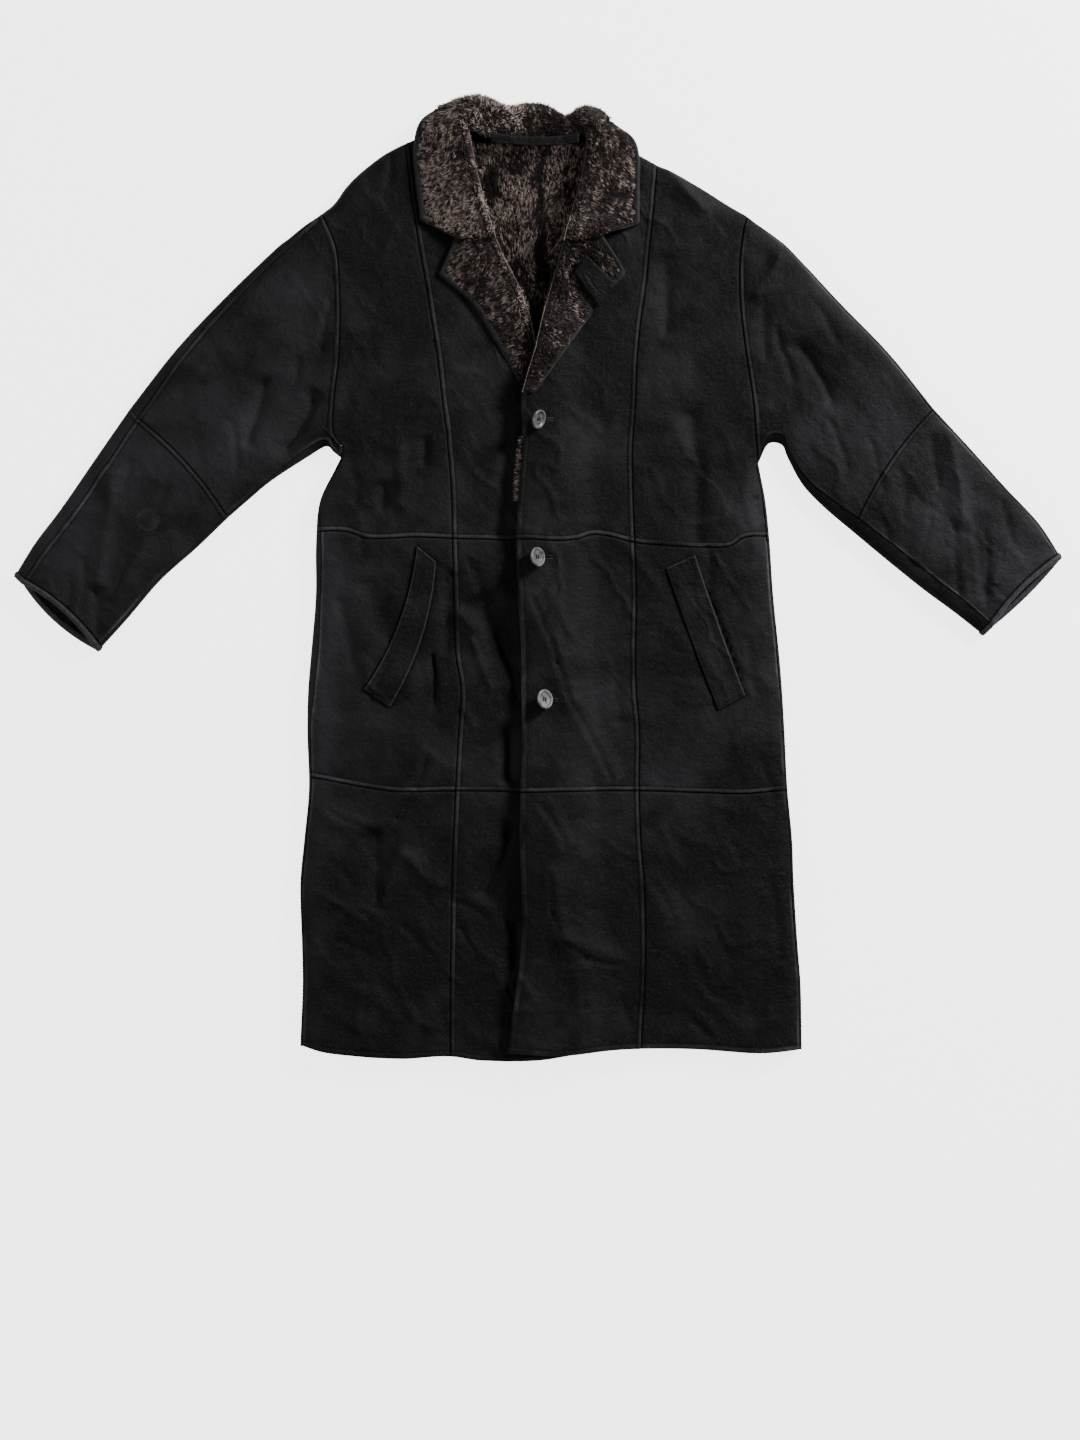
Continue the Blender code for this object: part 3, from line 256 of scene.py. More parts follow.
# Finer creases, in the same columns.
creases = [
    (-70, -41, -31, -116, 6, -2, 3),
    (-120, -2, -121, -93, 6, -1.1, 0), (-98, -167, -83, -194, 5, 1.6, 0),
    (-36, -197, -35, -258, 6, -2.4, 0), (-143, -231, -159, -271, 5, -2, 2),
    (-229, 55, -229, 33, 4, -1.6, 0), (-147, 183, -148, 146, 6, -2, 0), (-200, 123, -203, 86, 6, -2.2, 0),
    (-246, 180, -237, 102, 7, -1.4, 3), (-178, 171, -179, 94, 6, 1.4, 0),
    (-192, 547, -195, 513, 5, -1.8, 2), (-144, -239, -182, -313, 5, -2, 3),
    (-182, -313, -208, -335, 4, -1.6, 0), (-274, -300, -205, -333, 4, -1.6, -2),
    (-208, -337, -209, -418, 5, -1.8, 2), (-182, -358, -203, -422, 4, 1.4, 0),
    (-179, -356, -127, -401, 4, 1.2, 0), (-34, -331, -69, -408, 4.5, -2.2, 3),
    (-31, -449, -31, -506, 5, -2, 0), (-47, -514, -34, -543, 4, -1.4, 0),
    (-108, -421, -65, -444, 3.5, -1.3, 2), (-103, -454, -82, -484, 3.5, -1.3, 0),
    (-282, -408, -229, -444, 4, 1.4, 2), (-221, -535, -229, -582, 4, -1.6, 0),
    (-161, -543, -148, -597, 3, -1.1, 0), (-146, -538, -133, -600, 3, 1, 2),
    (-127, -548, -118, -592, 3, -1, 0), (-270, -366, -242, -398, 4, -1.1, 1),
    (-257, -470, -216, -493, 4, -1, 2), (-174, -450, -138, -486, 4, -1.2, -2),
    (-52, -70, -27, -158, 4, -1.8, 2), (-88, -80, -60, -145, 5, 1.8, 2),
    (-192, -80, -216, -158, 5, -1.2, 2), (-257, -28, -242, -119, 6, -1.2, 3),
    (-42, 214, -46, 60, 11, -3.2, 2), (-88, 24, -66, -36, 6, -1.6, 0), (-140, 24, -112, 5, 4, -1, 0),
    (-6, -25, 23, -109, 4, -2, 2), (23, -109, 44, -162, 4, -1.8, 1), (44, -162, 96, -262, 4, -1.8, 3),
    (13, -15, 48, -80, 7, 1.6, 0), (165, 411, 166, 320, 8, -1.6, 2), (196, 210, 208, 50, 8, -2, 3),
    (221, 40, 222, -20, 7, -1.8, 0), (3, -292, 36, -349, 4, -1.8, 2), (13, -384, 18, -436, 4, -1.7, 0),
    (18, -436, 32, -473, 4, -1.6, 1), (32, -473, 60, -492, 4, -1.8, 2), (60, -492, 112, -502, 4, -1.6, -2),
    (56, -509, 62, -556, 4, -1.4, 0), (62, -556, 64, -603, 4, -1.2, 0),
    (146, -387, 174, -444, 4.5, -1.4, 2), (250, -343, 266, -370, 4, -1.3, 0),
    (214, -470, 231, -523, 4.5, -1.4, 2), (222, -540, 240, -545, 3.5, -1.2, 0),
    (199, -574, 224, -595, 4, -1.3, 1), (168, 531, 213, 475, 6, 1.6, 3), (283, 102, 294, 50, 5, -1.8, 0),
    (268, -80, 283, -158, 6, -1.2, 2), (211, 141, 242, 102, 6, -1.1, 2), (94, -80, 107, -184, 8, -1.1, 2),
    (289, -236, 308, -288, 5, -1.2, 0), (159, -327, 185, -376, 5, 1.1, 0),
    (302, -392, 315, -496, 6, -1.2, 2), (109, -548, 125, -600, 5, -1, 0), (-291, 229, -328, 171, 5, -3, 3),
    (-356, 253, -376, 177, 5, -2, 2), (-376, 357, -356, 340, 4, -1.6, 0),
    (-309, 284, -322, 232, 6, -1.8, 2), (-398, 206, -390, 141, 5, -1.6, 2),
    (-465, 232, -439, 167, 5, -1.4, 2), (-433, 323, -411, 268, 5, -1.3, 2),
    (-270, 362, -281, 297, 6, -1.6, 0), (-555, 135, -569, -2, 5, 1.6, 4), (-502, 71, -546, -23, 5, 1.4, 4),
    (-573, -15, -575, -72, 4, -1.6, 0), (-608, -7, -610, -38, 4, -1.6, 0),
    (-621, 76, -637, 24, 5, -1.3, 0), (-530, 154, -546, 102, 5, -1.3, 2),
    (-478, 141, -491, 89, 5, -1.2, 2), (-439, 102, -471, 60, 5, -1.2, 2),
    (-589, 24, -595, -44, 4, -1.2, 2), (-533, 24, -556, -33, 4, -1.2, 2),
    (-346, 401, -374, 375, 5, -1.2, 0), (311, 418, 281, 366, 6, 1.4, 2), (341, 300, 380, 229, 5, -2.2, 3),
    (445, 250, 421, 229, 4, -1.5, 0), (532, 185, 551, 73, 5, 1.4, 4), (509, 79, 494, 27, 4.5, -1.5, 2),
    (536, 73, 546, -36, 4.5, -1.6, 2), (559, 76, 569, -28, 4.5, 1.3, 2), (581, 63, 580, -33, 4.5, -1.4, 2),
    (619, 27, 594, -3, 4, -1.5, 0), (307, 323, 328, 258, 6, -1.8, 2), (380, 206, 403, 141, 5, -1.6, 2),
    (432, 180, 445, 115, 5, -1.4, 2), (471, 141, 478, 76, 5, -1.3, 2), (367, 349, 390, 297, 5, -1.3, 2),
    (601, 102, 616, 50, 5, -1.3, 0), (510, 180, 520, 115, 5, -1.2, 0), (289, 362, 294, 284, 6, -1.4, 0),
    (445, 76, 460, 24, 5, -1.3, 0),
]


# Lines and heights


def smooth(xs, ys, x):  # a smooth curve through the points
    xs, ys = np.asarray(xs, float), np.asarray(ys, float)
    steps = np.diff(ys) / np.diff(xs)
    slopes = np.concatenate([steps[:1], (steps[1:] + steps[:-1]) / 2, steps[-1:]])
    at = np.clip(np.asarray(x, float), xs[0], xs[-1])
    i = np.clip(np.searchsorted(xs, at, side="right") - 1, 0, len(xs) - 2)
    width = xs[i + 1] - xs[i]
    t = (at - xs[i]) / width
    return ((2 * t**3 - 3 * t**2 + 1) * ys[i] + (t**3 - 2 * t**2 + t) * width * slopes[i]
            + (3 * t**2 - 2 * t**3) * ys[i + 1] + (t**3 - t**2) * width * slopes[i + 1])


def bodyLine(column, y):
    return smooth(bodyRows[:, 0], bodyRows[:, bodyColumns.index(column)], y)


def seamLine(points, x):
    return smooth([p[0] for p in points], [p[1] for p in points], x)


def sections(rows, t):  # all the columns of a table at t, from 0 at its first row to 1 at its last
    at = np.linspace(0, 1, len(rows))
    return np.stack([smooth(at, column, t) for column in zip(*rows)], -1)


def ridge(away, at, width):  # 1 at that distance, and fading to both sides
    return np.exp(-(((away - at) / width) ** 2))


def spotted(xy, spots):  # soft spots, added up: x, y, half widths, share
    return sum(share * np.exp(-(((xy[..., 0] - x) / wide) ** 2) - (((xy[..., 1] - y) / high) ** 2))
               for x, y, wide, high, share in spots)


def sign(side):
    return -1 if side == "right" else 1


def frontEdge(side, y):
    edge = bodyLine("underEdge" if side == "right" else "overEdge", y)
    return edge + sign(side) * cut["hang"] * np.clip((y - 235) / 60, 0, 1)


def sideSeam(side, y):
    wrap = smooth(*zip(*sideWrap[side]), y)
    wrap = np.where(y > armpit[side] - 2, 0, wrap)
    return bodyLine(side + "Side", y) - sign(side) * wrap


def outlineStrands():  # every folded side of the coat, where its faces round over
    for side in ("right", "left"):
        y = np.arange(-640, armpit[side] + 1, 4)
        yield np.stack([bodyLine(side + "Side", y), y], -1)
        for part in ("upper", "lower"):
            ends = sections(sleeveRows[side][part], np.linspace(0, 1, 90))
            yield ends[:, 0:2]
            yield ends[:, 2:4]
        x = np.linspace(shoulder[side][0][0], shoulder[side][-1][0], 60)
        yield np.stack([x, seamLine(shoulder[side], x)], -1)


class Outline:  # distance to the nearest stretch of the outline
    def __init__(self, strands):
        self.starts, self.runs = [], []
        for strand in strands:
            self.starts.append(strand[:-1])
            self.runs.append(np.diff(strand, axis=0))
        self.starts, self.runs = np.concatenate(self.starts), np.concatenate(self.runs)
        self.tree = KDTree(len(self.starts))
        for i, point in enumerate(self.starts + self.runs / 2):
            self.tree.insert((*point, 0), i)
        self.tree.balance()

    def away(self, xy):
        flat = xy.reshape(-1, 2)
        nearest = np.array([[n[1] for n in self.tree.find_n((x, y, 0), 3)] for x, y in flat])
        best = np.full(len(flat), 1e9)
        for k in range(3):
            start, run = self.starts[nearest[:, k]], self.runs[nearest[:, k]]
            t = np.clip(((flat - start) * run).sum(1) / (run**2).sum(1), 0, 1)
            best = np.minimum(best, np.hypot(*(flat - start - run * t[:, None]).T))
        return best.reshape(xy.shape[:-1])


outline = Outline(outlineStrands())


def quarter(distance, radius):
    return np.sqrt(np.maximum(0, 1 - (1 - np.minimum(distance, radius) / radius) ** 2))


def upperFace(inside):  # height of a front or a sleeve, so far inside the outline
    rise = cut["frontZ"] + cut["wall"] - cut["highestSide"]
    puffed = cut["puff"] * (1 - np.exp(-inside / cut["puffReach"]))
    return cut["highestSide"] + rise * quarter(inside, cut["foldRadius"]) + puffed


def underFace(inside):
    return cut["lowestSide"] * (1 - quarter(inside, cut["underRadius"]))


def mottle(xy, size, seed):  # soft random hills, between -1 and 1, about size apart
    lattice = np.random.default_rng(seed).uniform(-1, 1, (256, 256))
    at = xy / size + 80
    cell = np.floor(at).astype(int)
    f = at - cell
    f = f * f * (3 - 2 * f)
    i, j = cell[..., 0] % 255, cell[..., 1] % 255
    low = lattice[i, j] * (1 - f[..., 0]) + lattice[i + 1, j] * f[..., 0]
    high = lattice[i, j + 1] * (1 - f[..., 0]) + lattice[i + 1, j + 1] * f[..., 0]
    return low * (1 - f[..., 1]) + high * f[..., 1]


def layered(xy, layers):  # mottles of several sizes: height, size, seed
    return sum(height * mottle(xy, size, seed) for height, size, seed in layers)


skin = {  # millimetres: how the skin lies between the folds
    "foldGain": 1.5, "sway": 4.0, "hills": [(1.7, 62, 7), (1.0, 27, 8), (0.32, 11, 9)],
    "wrinkles": [(46, 11, 2.0), (27, 14, 1.3)],  # size, seed, height
}


def foldHeight(xy):
    sway = np.stack([mottle(xy, 30, 3), mottle(xy, 30, 4)], -1) * skin["sway"]  # none runs quite straight
    total = np.zeros(xy.shape[:-1])
    for x0, y0, x1, y1, halfWidth, height, bow in largeFolds + creases:
        start, run = np.array([x0, y0]), np.array([x1 - x0, y1 - y0])
        length = np.hypot(*run)
        at = xy + sway * min(1, halfWidth / 8)
        t = ((at - start) @ run) / length**2
        across = ((at - start) @ np.array([-run[1], run[0]])) / length - bow * 4 * t * (1 - t)
        end = np.clip(np.minimum(t, 1 - t) * length / halfWidth + 1, 0, 1)
        total += skin["foldGain"] * height * ridge(across, 0, halfWidth) * end**2 * (3 - 2 * end)
    return total


def softness(xy):  # the skin is never quite level
    return layered(xy, skin["hills"]) + sum(wrinkles(xy, *some) for some in skin["wrinkles"])


def wrinkles(xy, size, seed, height):  # thin wandering crests, in some places and not in others
    turned = xy @ np.array([[0.82, -0.57], [0.57, 0.82]]) * (1.0, 0.55)  # longer than they are wide
    stray = np.stack([mottle(xy, size * 0.6, seed), mottle(xy, size * 0.6, seed + 1)], -1)
    at = turned + stray * size * 0.22
    crest = ridge(mottle(at, size, seed + 2), 0, 0.13)
    return height * crest * np.clip(0.35 + 1.1 * mottle(xy, 120, seed + 3), 0, 1)


# Slits and hollows, with shade painted into them: x0 y0 x1 y1, half width in the middle, depth, dark share
# (the share of painted shade), bow sideways. One hollow has no depth, only a painted shadow.
slits = [
    (-137.5, -95, -134.5, -181, 3.3, 6, 1, 2.2), (-70, -36, -31, -118, 13, 0, 0.45, 4),
    (219, -14, 268, -148, 3, 2.5, 0.9, 0), (9, 204.6, 21, 204.4, 0.9, 1.6, 1, 0),
    (8, 26.6, 20, 26.2, 0.9, 1.6, 1, 0), (15, -157.6, 27, -158.2, 0.9, 1.6, 1, 0),
]
# Where the leather is painted greyer: partly nap rubbed grey, partly painted sheen where the light grazes
# the sides and sleeves: x, y, half widths, share. Below zero it stays blacker: painted shade, as under the
# arms and on the flats.
rubbedNapAndPaintedLight = [
    (-620, 60, 60, 90, 0.5), (-520, 140, 90, 60, 0.25), (-380, 180, 50, 50, 0.45),
    (-330, 300, 45, 70, 0.3), (-285, 20, 26, 190, 0.95), (-290, -240, 28, 120, 0.7),
    (-295, -480, 20, 130, 0.25), (-235, -330, 40, 60, 0.25), (-155, -135, 14, 45, 0.45),
    (-118, -140, 13, 60, -0.6), (-560, 120, 120, 110, 0.2), (-400, 250, 80, 90, 0.2),
    (-225, -470, 60, 60, -0.4), (-170, 330, 50, 90, -0.5), (-60, -90, 30, 60, -0.5),
    (-50, -420, 40, 120, -0.4), (-215, -30, 26, 60, 0.35), (-175, 130, 30, 40, 0.2),
    (640, 20, 60, 60, 0.55), (560, 90, 50, 80, 0.4), (420, 160, 70, 70, 0.35), (330, 260, 40, 70, 0.3),
    (285, 0, 20, 160, 0.3), (320, -420, 22, 180, -0.3), (200, 300, 60, 110, -0.1), (75, -200, 50, 90, 0.2),
    (60, -480, 60, 80, 0.15), (215, -520, 50, 60, 0.1), (-600, 20, 40, 40, 0.3), (600, -30, 40, 40, 0.3),
    (300, 190, 26, 22, -1), (-285, 175, 18, 14, -0.8), (68, 300, 48, 90, -0.8), (80, -480, 60, 80, -0.5),
    (-450, 140, 60, 70, 0.3), (-335, 370, 50, 60, 0.35), (510, 60, 50, 50, 0.4),
]
greyLayers = [(0.34, 90, 71), (0.3, 38, 72), (0.16, 15, 73)]


def lens(xy, x0, y0, x1, y1, halfWidth, bow):  # 1 along a slit that tapers to both ends
    start, run = np.array([x0, y0]), np.array([x1 - x0, y1 - y0])
    length = np.hypot(*run)
    t = ((xy - start) @ run) / length**2
    across = ((xy - start) @ np.array([-run[1], run[0]])) / length - bow * 4 * t * (1 - t)
    opened = halfWidth * np.sqrt(np.sin(pi * np.clip(t, 0, 1) ** 0.75)) + 1e-6  # widest before its middle
    return ridge(across, 0, opened) * np.clip(t * 14, 0, 1) * np.clip((1 - t) * 6, 0, 1)


def slitMarks(xy):
    depth, dark = np.zeros(xy.shape[:-1]), np.zeros(xy.shape[:-1])
    for *line, halfWidth, deep, share, bow in slits:
        near = lens(xy, *line, halfWidth, bow)
        depth, dark = depth - deep * near, np.maximum(dark, share * near)
    return depth, dark


# share of grey in the leather: a random mottle plus the spots above, partly rubbed nap and partly painted
# sheen and shade
def greyed(xy):
    return np.clip(0.16 + layered(xy, greyLayers) + spotted(xy, rubbedNapAndPaintedLight), 0, 1)


# Seams. Across a seam: distance from it, lift, worn share, dark share, which is painted shade in the seam's
# ditch and stitch groove.

seamProfiles = {
    "lap": [(0, -1.3, 0, 1), (0.6, -0.4, 0, 0.8), (1.3, 0.8, 0.6, 0.05), (2.4, 1.15, 0.34, 0),
            (4.1, 1.05, 0.28, 0), (5, 0.65, 0.45, 0), (5.7, -0.4, 0, 0.9), (6.4, -0.2, 0, 0.6),
            (7.2, 0, 0, 0.1), (8.6, 0, 0, 0)],
    "under": [(0, -1.3, 0, 1), (0.5, -0.6, 0, 0.45), (1.3, -0.1, 0.15, 0), (3, 0, 0, 0)],
    "edge": [(0, -4.5, 0.2, 0), (0.4, -2.2, 0.6, 0), (1.2, -0.8, 0.8, 0), (2.6, 0, 0.45, 0),
             (5.4, 0.2, 0.28, 0), (6.2, -0.1, 0, 0.3), (7, -0.5, 0, 0.85), (7.8, -0.1, 0, 0.2),
             (9.5, 0, 0, 0)],
    "side": [(0, -1.1, 0, 1), (0.7, -0.1, 0.9, 0.1), (1.8, 0.5, 0.9, 0), (3, 0.2, 0.35, 0), (4.2, 0, 0, 0)],
    "plain": [(0, 0, 0, 0)],
}
stitchAt = {"lap": 5.8, "edge": 7.0}
rubLayers = [(0.75, 55, 91), (0.35, 17, 92)]  # no seam is worn the same all along
# Stretches of seam that are worn palest: x, y, half widths, share.
rubs = [(-195, 55, 75, 16, 1.1), (-288, -60, 20, 150, 1.3), (-285, 60, 20, 14, 0.6),
        (-270, -268, 50, 14, 0.9), (-150, -276, 50, 12, 0.4), (90, 50, 40, 14, 0.5),
        (305, -40, 16, 120, 0.4), (-610, 80, 70, 110, 1.0)]


def bands(length, cell, startKind, endKind):
    # columns or rows as (share of the way, offset): the seams' own first, then even steps
    start = [d for d, *_ in seamProfiles[startKind]]
    end = [d for d, *_ in seamProfiles[endKind]]
    a, b = start[-1], end[-1]
    steps = max(2, round((length - a - b) / cell))
    spots = [(0.0, d) for d in start[:-1]]
    spots += [(s, a * (1 - s) - b * s) for s in np.linspace(0, 1, steps + 1)]
    spots += [(1.0, -d) for d in reversed(end[:-1])]
    return np.array(spots)


def between(left, right, low, high, columns, rows, way=1):
    # a grid whose columns run between two lines x(y), and its rows between two lines y(x);
    # way is -1 where the columns count towards -X
    s, v = np.meshgrid(columns[:, 0], rows[:, 0])
    dx, dy = np.meshgrid(columns[:, 1], rows[:, 1])
    y = low(np.zeros_like(s)) + v * cut["tier"]
    x = np.zeros_like(s)
    for _ in range(40):
        x = left(y) * (1 - s) + right(y) * s + way * dx
        y = 0.5 * y + 0.5 * (low(x) * (1 - v) + high(x) * v + dy)
    return np.dstack([x, y])


def seamLift(xy, kinds):
    # lift, worn and dark shares from the distance to the four sides: left, right, low, high
    lift, worn, dark = (np.zeros(xy.shape[:2]) for _ in range(3))
    borders = (xy[:, :1], xy[:, -1:], xy[:1], xy[-1:])
    for kind, border in zip(kinds, borders):
        run = np.gradient(border, axis=0 if border.shape[1] == 1 else 1)
        run = run / np.hypot(run[..., 0], run[..., 1])[..., None]
        gap = xy - border
        away = np.abs(gap[..., 0] * run[..., 1] - gap[..., 1] * run[..., 0])
        d, up, rub, line = zip(*seamProfiles[kind])
        lift += np.interp(away, d, up)
        worn = np.maximum(worn, np.interp(away, d, rub))
        dark = np.maximum(dark, np.interp(away, d, line))
    rubbed = np.clip(0.45 + layered(xy, rubLayers) + spotted(xy, rubs), 0.08, 2)
    return lift, np.clip(worn * rubbed, 0, 1) * (1 - dark), dark


def inset(xy):  # draws the border of a grid in by half a seam gap
    xy = xy.copy()
    half = cut["gap"] / 2
    for edge, inner in ((0, 1), (-1, -2)):
        run = xy[inner] - xy[edge]
        xy[edge] += half * run / np.hypot(run[:, 0], run[:, 1])[:, None]
        run = xy[:, inner] - xy[:, edge]
        xy[:, edge] += half * run / np.hypot(run[:, 0], run[:, 1])[:, None]
    return xy


# Meshes


def link(name, mesh):
    obj = bpy.data.objects.new(name, mesh)
    bpy.context.scene.collection.objects.link(obj)
    return obj


def meshOf(name, points, faces, finish, marks=None, sharp=38):
    mesh = bpy.data.meshes.new(name)
    mesh.from_pydata((np.asarray(points) * mm).tolist(), [], faces)
    mesh.materials.append(finish)
    for mark, values in (marks or {}).items():
        attribute = mesh.attributes.new(mark, "FLOAT", "POINT")
        padded = np.zeros(len(points), np.float32)
        padded[:len(values)] = values
        attribute.data.foreach_set("value", padded)
    mesh.shade_smooth()
    mesh.set_sharp_from_angle(angle=radians(sharp))
    return link(name, mesh)


def gridFaces(rows, columns):
    i, j = np.meshgrid(np.arange(rows - 1), np.arange(columns - 1), indexing="ij")
    k = (i * columns + j).ravel()
    return np.stack([k, k + 1, k + columns + 1, k + columns], 1)


def facesUp(xy):
    (x0, y0), (x1, y1), (x2, y2) = xy[0, 0], xy[0, -1], xy[-1, 0]
    return (x1 - x0) * (y2 - y0) - (y1 - y0) * (x2 - x0) > 0


def wall(name, xy, top, bottom, finish, marks=None, flatUnder=True, sharp=38):
    # a closed wall between the heights top and bottom over a grid
    if not facesUp(xy):
        xy, top, bottom = xy[:, ::-1], top[:, ::-1], bottom[:, ::-1]
        marks = {mark: values[:, ::-1] for mark, values in (marks or {}).items()}
    rows, columns = xy.shape[:2]
    upper = np.dstack([xy, top]).reshape(-1, 3)
    lower = np.dstack([xy, bottom]).reshape(-1, 3)
    faces = gridFaces(rows, columns)
    index = np.arange(rows * columns).reshape(rows, columns)
    border = np.concatenate([index[0], index[1:, -1], index[-1, -2::-1], index[-2:0:-1, 0]])
    under = np.full(rows * columns, -1)
    if flatUnder:
        under[border] = rows * columns + np.arange(len(border))
        lower = lower[border]
        bottoms = [tuple(int(k) for k in under[border][::-1])]
    else:
        under = rows * columns + np.arange(rows * columns)
        bottoms = under[faces[:, ::-1]].tolist()
    after = np.roll(border, -1)
    sides = np.stack([after, border, under[border], under[after]], 1).tolist()
    flat = {mark: values.ravel() for mark, values in (marks or {}).items()}
    every = faces.tolist() + bottoms + sides
    return meshOf(name, np.concatenate([upper, lower]), every, finish, flat, sharp)


def clothSize(xyz):  # the size that a grid was cut to: widest, longest and area, in metres
    across = np.linalg.norm(np.diff(xyz, axis=1), axis=2)
    along = np.linalg.norm(np.diff(xyz, axis=0), axis=2)
    areas = (across[1:] + across[:-1]) / 2 * (along[:, 1:] + along[:, :-1]) / 2
    a, b, c = xyz[:-1, :-1], xyz[:-1, 1:], xyz[1:, :-1]
    skew = np.linalg.norm(np.cross(b - a, c - a), axis=2) / np.maximum(1e-9, across[:-1] * along[:, :-1])
    return across.sum(1).max() * mm, along.sum(0).max() * mm, (areas * np.minimum(1, skew)).sum() * mm**2


def stripSize(obj):  # of a narrow piece: its width all round, its length, and half its whole surface
    points = np.array([v.co for v in obj.data.vertices])
    half = sum(p.area for p in obj.data.polygons) / 2
    ring = points[:: max(1, len(points) // 400), :2]
    length = max(np.hypot(*(ring - p).T).max() for p in ring)
    return half / length, length


pieces = []  # every piece made here: object, slot, nodes that it stands for, cloth grid, what it lies on


def finishPiece(obj, slot, nodes=(), grid=None, restsOn=()):
    pieces.append((obj, slot, nodes, grid, restsOn))
    return obj


# Reading the frame


def treeOf(names):
    points, faces = [], []
    for name in names:
        start = len(points)
        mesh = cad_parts[name].data
        points += [tuple(v.co / mm) for v in mesh.vertices]
        faces += [tuple(k + start for k in p.vertices) for p in mesh.polygons]
    return BVHTree.FromPolygons(points, faces)


def castOn(xy, names, upwards=False):  # the frame's height at every point, from above or from below
    tree = treeOf(names)
    start, way = (-50, Vector((0, 0, 1))) if upwards else (500, Vector((0, 0, -1)))
    heights = np.full(xy.shape[:2], np.nan)
    for index in np.ndindex(heights.shape):
        hit = tree.ray_cast(Vector((*xy[index], start)), way)[0]
        if hit is not None:
            heights[index] = hit.z
    return fillMissing(heights)


def fillMissing(heights):
    known = ~np.isnan(heights)
    filled = np.where(known, heights, 0)
    while not known.all():
        total, count = np.zeros_like(filled), np.zeros_like(filled)
        for axis, step in ((0, 1), (0, -1), (1, 1), (1, -1)):
            total += np.roll(filled * known, step, axis)
            count += np.roll(known.astype(float), step, axis)
        fresh = ~known & (count > 0)
        filled[fresh] = total[fresh] / count[fresh]
        known |= fresh
    return filled


def soften(heights, passes):
    for _ in range(passes):
        padded = np.pad(heights, 1, mode="edge")
        around = padded[:-2, 1:-1] + padded[2:, 1:-1] + padded[1:-1, :-2] + padded[1:-1, 2:]
        heights = 0.5 * heights + 0.125 * around
    return heights


makeCamera()
makeLights()
makeFloor()
report("camera, light and floor are set")

# Materials. Each one is named for what it is made of; the comment says what that gives the eye.

shades = {  # sRGB
    "leatherDark": "060506", "leatherMid": "0E0D0F", "leatherWorn": "56575B", "greyed": "313134",
    # ditch: the near black that paints shade into seams, slits, grooves and the buttons' faces; the lapel
    # tab also takes it as its own blacker colour
    "ditch": "010101", "bindingDark": "0A090A", "bindingMid": "141315", "bindingWorn": "4C4D50",
    "skin": "120D0B",
    "furRoot": "040302", "furBody": "402F2A", "furTip": "F2DCD0", "hideEdge": "9C8D7F", "horn": "858685",
    "hornDark": "5A5A57", "hornPale": "A9A9A7", "blackThread": "121112",
}


def newMaterial(name, roughness, settings=None):
    material = bpy.data.materials.new(name)
    material.use_nodes = True
    tree = material.node_tree
    shader = tree.nodes["Principled BSDF"]
    shader.inputs["Roughness"].default_value = roughness
    for socket, value in (settings or {}).items():
        shader.inputs[socket].default_value = value
    return material, tree, shader


def blend(tree, low, high, share):
    # low and high are hex colours or sockets
    node = addNode(tree, "ShaderNodeMix", {"data_type": "RGBA"}, None, {0: share})
    for index, colour in ((6, low), (7, high)):
        if isinstance(colour, str):
            node.inputs[index].default_value = linear(colour)
        else:
            tree.links.new(colour, node.inputs[index])
    return node.outputs[2]


def scaled(tree, value, fromLow, fromHigh, toLow, toHigh):
    node = addNode(tree, "ShaderNodeMapRange", None, {"From Min": fromLow, "From Max": fromHigh,
                   "To Min": toLow, "To Max": toHigh}, {"Value": value})
    return node.outputs["Result"]


def times(tree, first, second):  # a product of sockets
    return addNode(tree, "ShaderNodeMath", {"operation": "MULTIPLY"}, None, {0: first, 1: second}).outputs[0]


def noise(tree, coordinates, size, detail=2.0, rough=0.5):  # size of a patch in metres
    values = {"Scale": 1 / size, "Detail": detail, "Roughness": rough}
    return addNode(tree, "ShaderNodeTexNoise", None, values, {"Vector": coordinates}).outputs["Fac"]


def attribute(tree, name):
    return addNode(tree, "ShaderNodeAttribute", {"attribute_name": name}).outputs["Fac"]


def bump(tree, height, distance, strength, under=None):
    node = addNode(tree, "ShaderNodeBump", None, {"Distance": distance, "Strength": strength},
                   {"Height": height})
    if under:
        tree.links.new(under, node.inputs["Normal"])
    return node.outputs["Normal"]


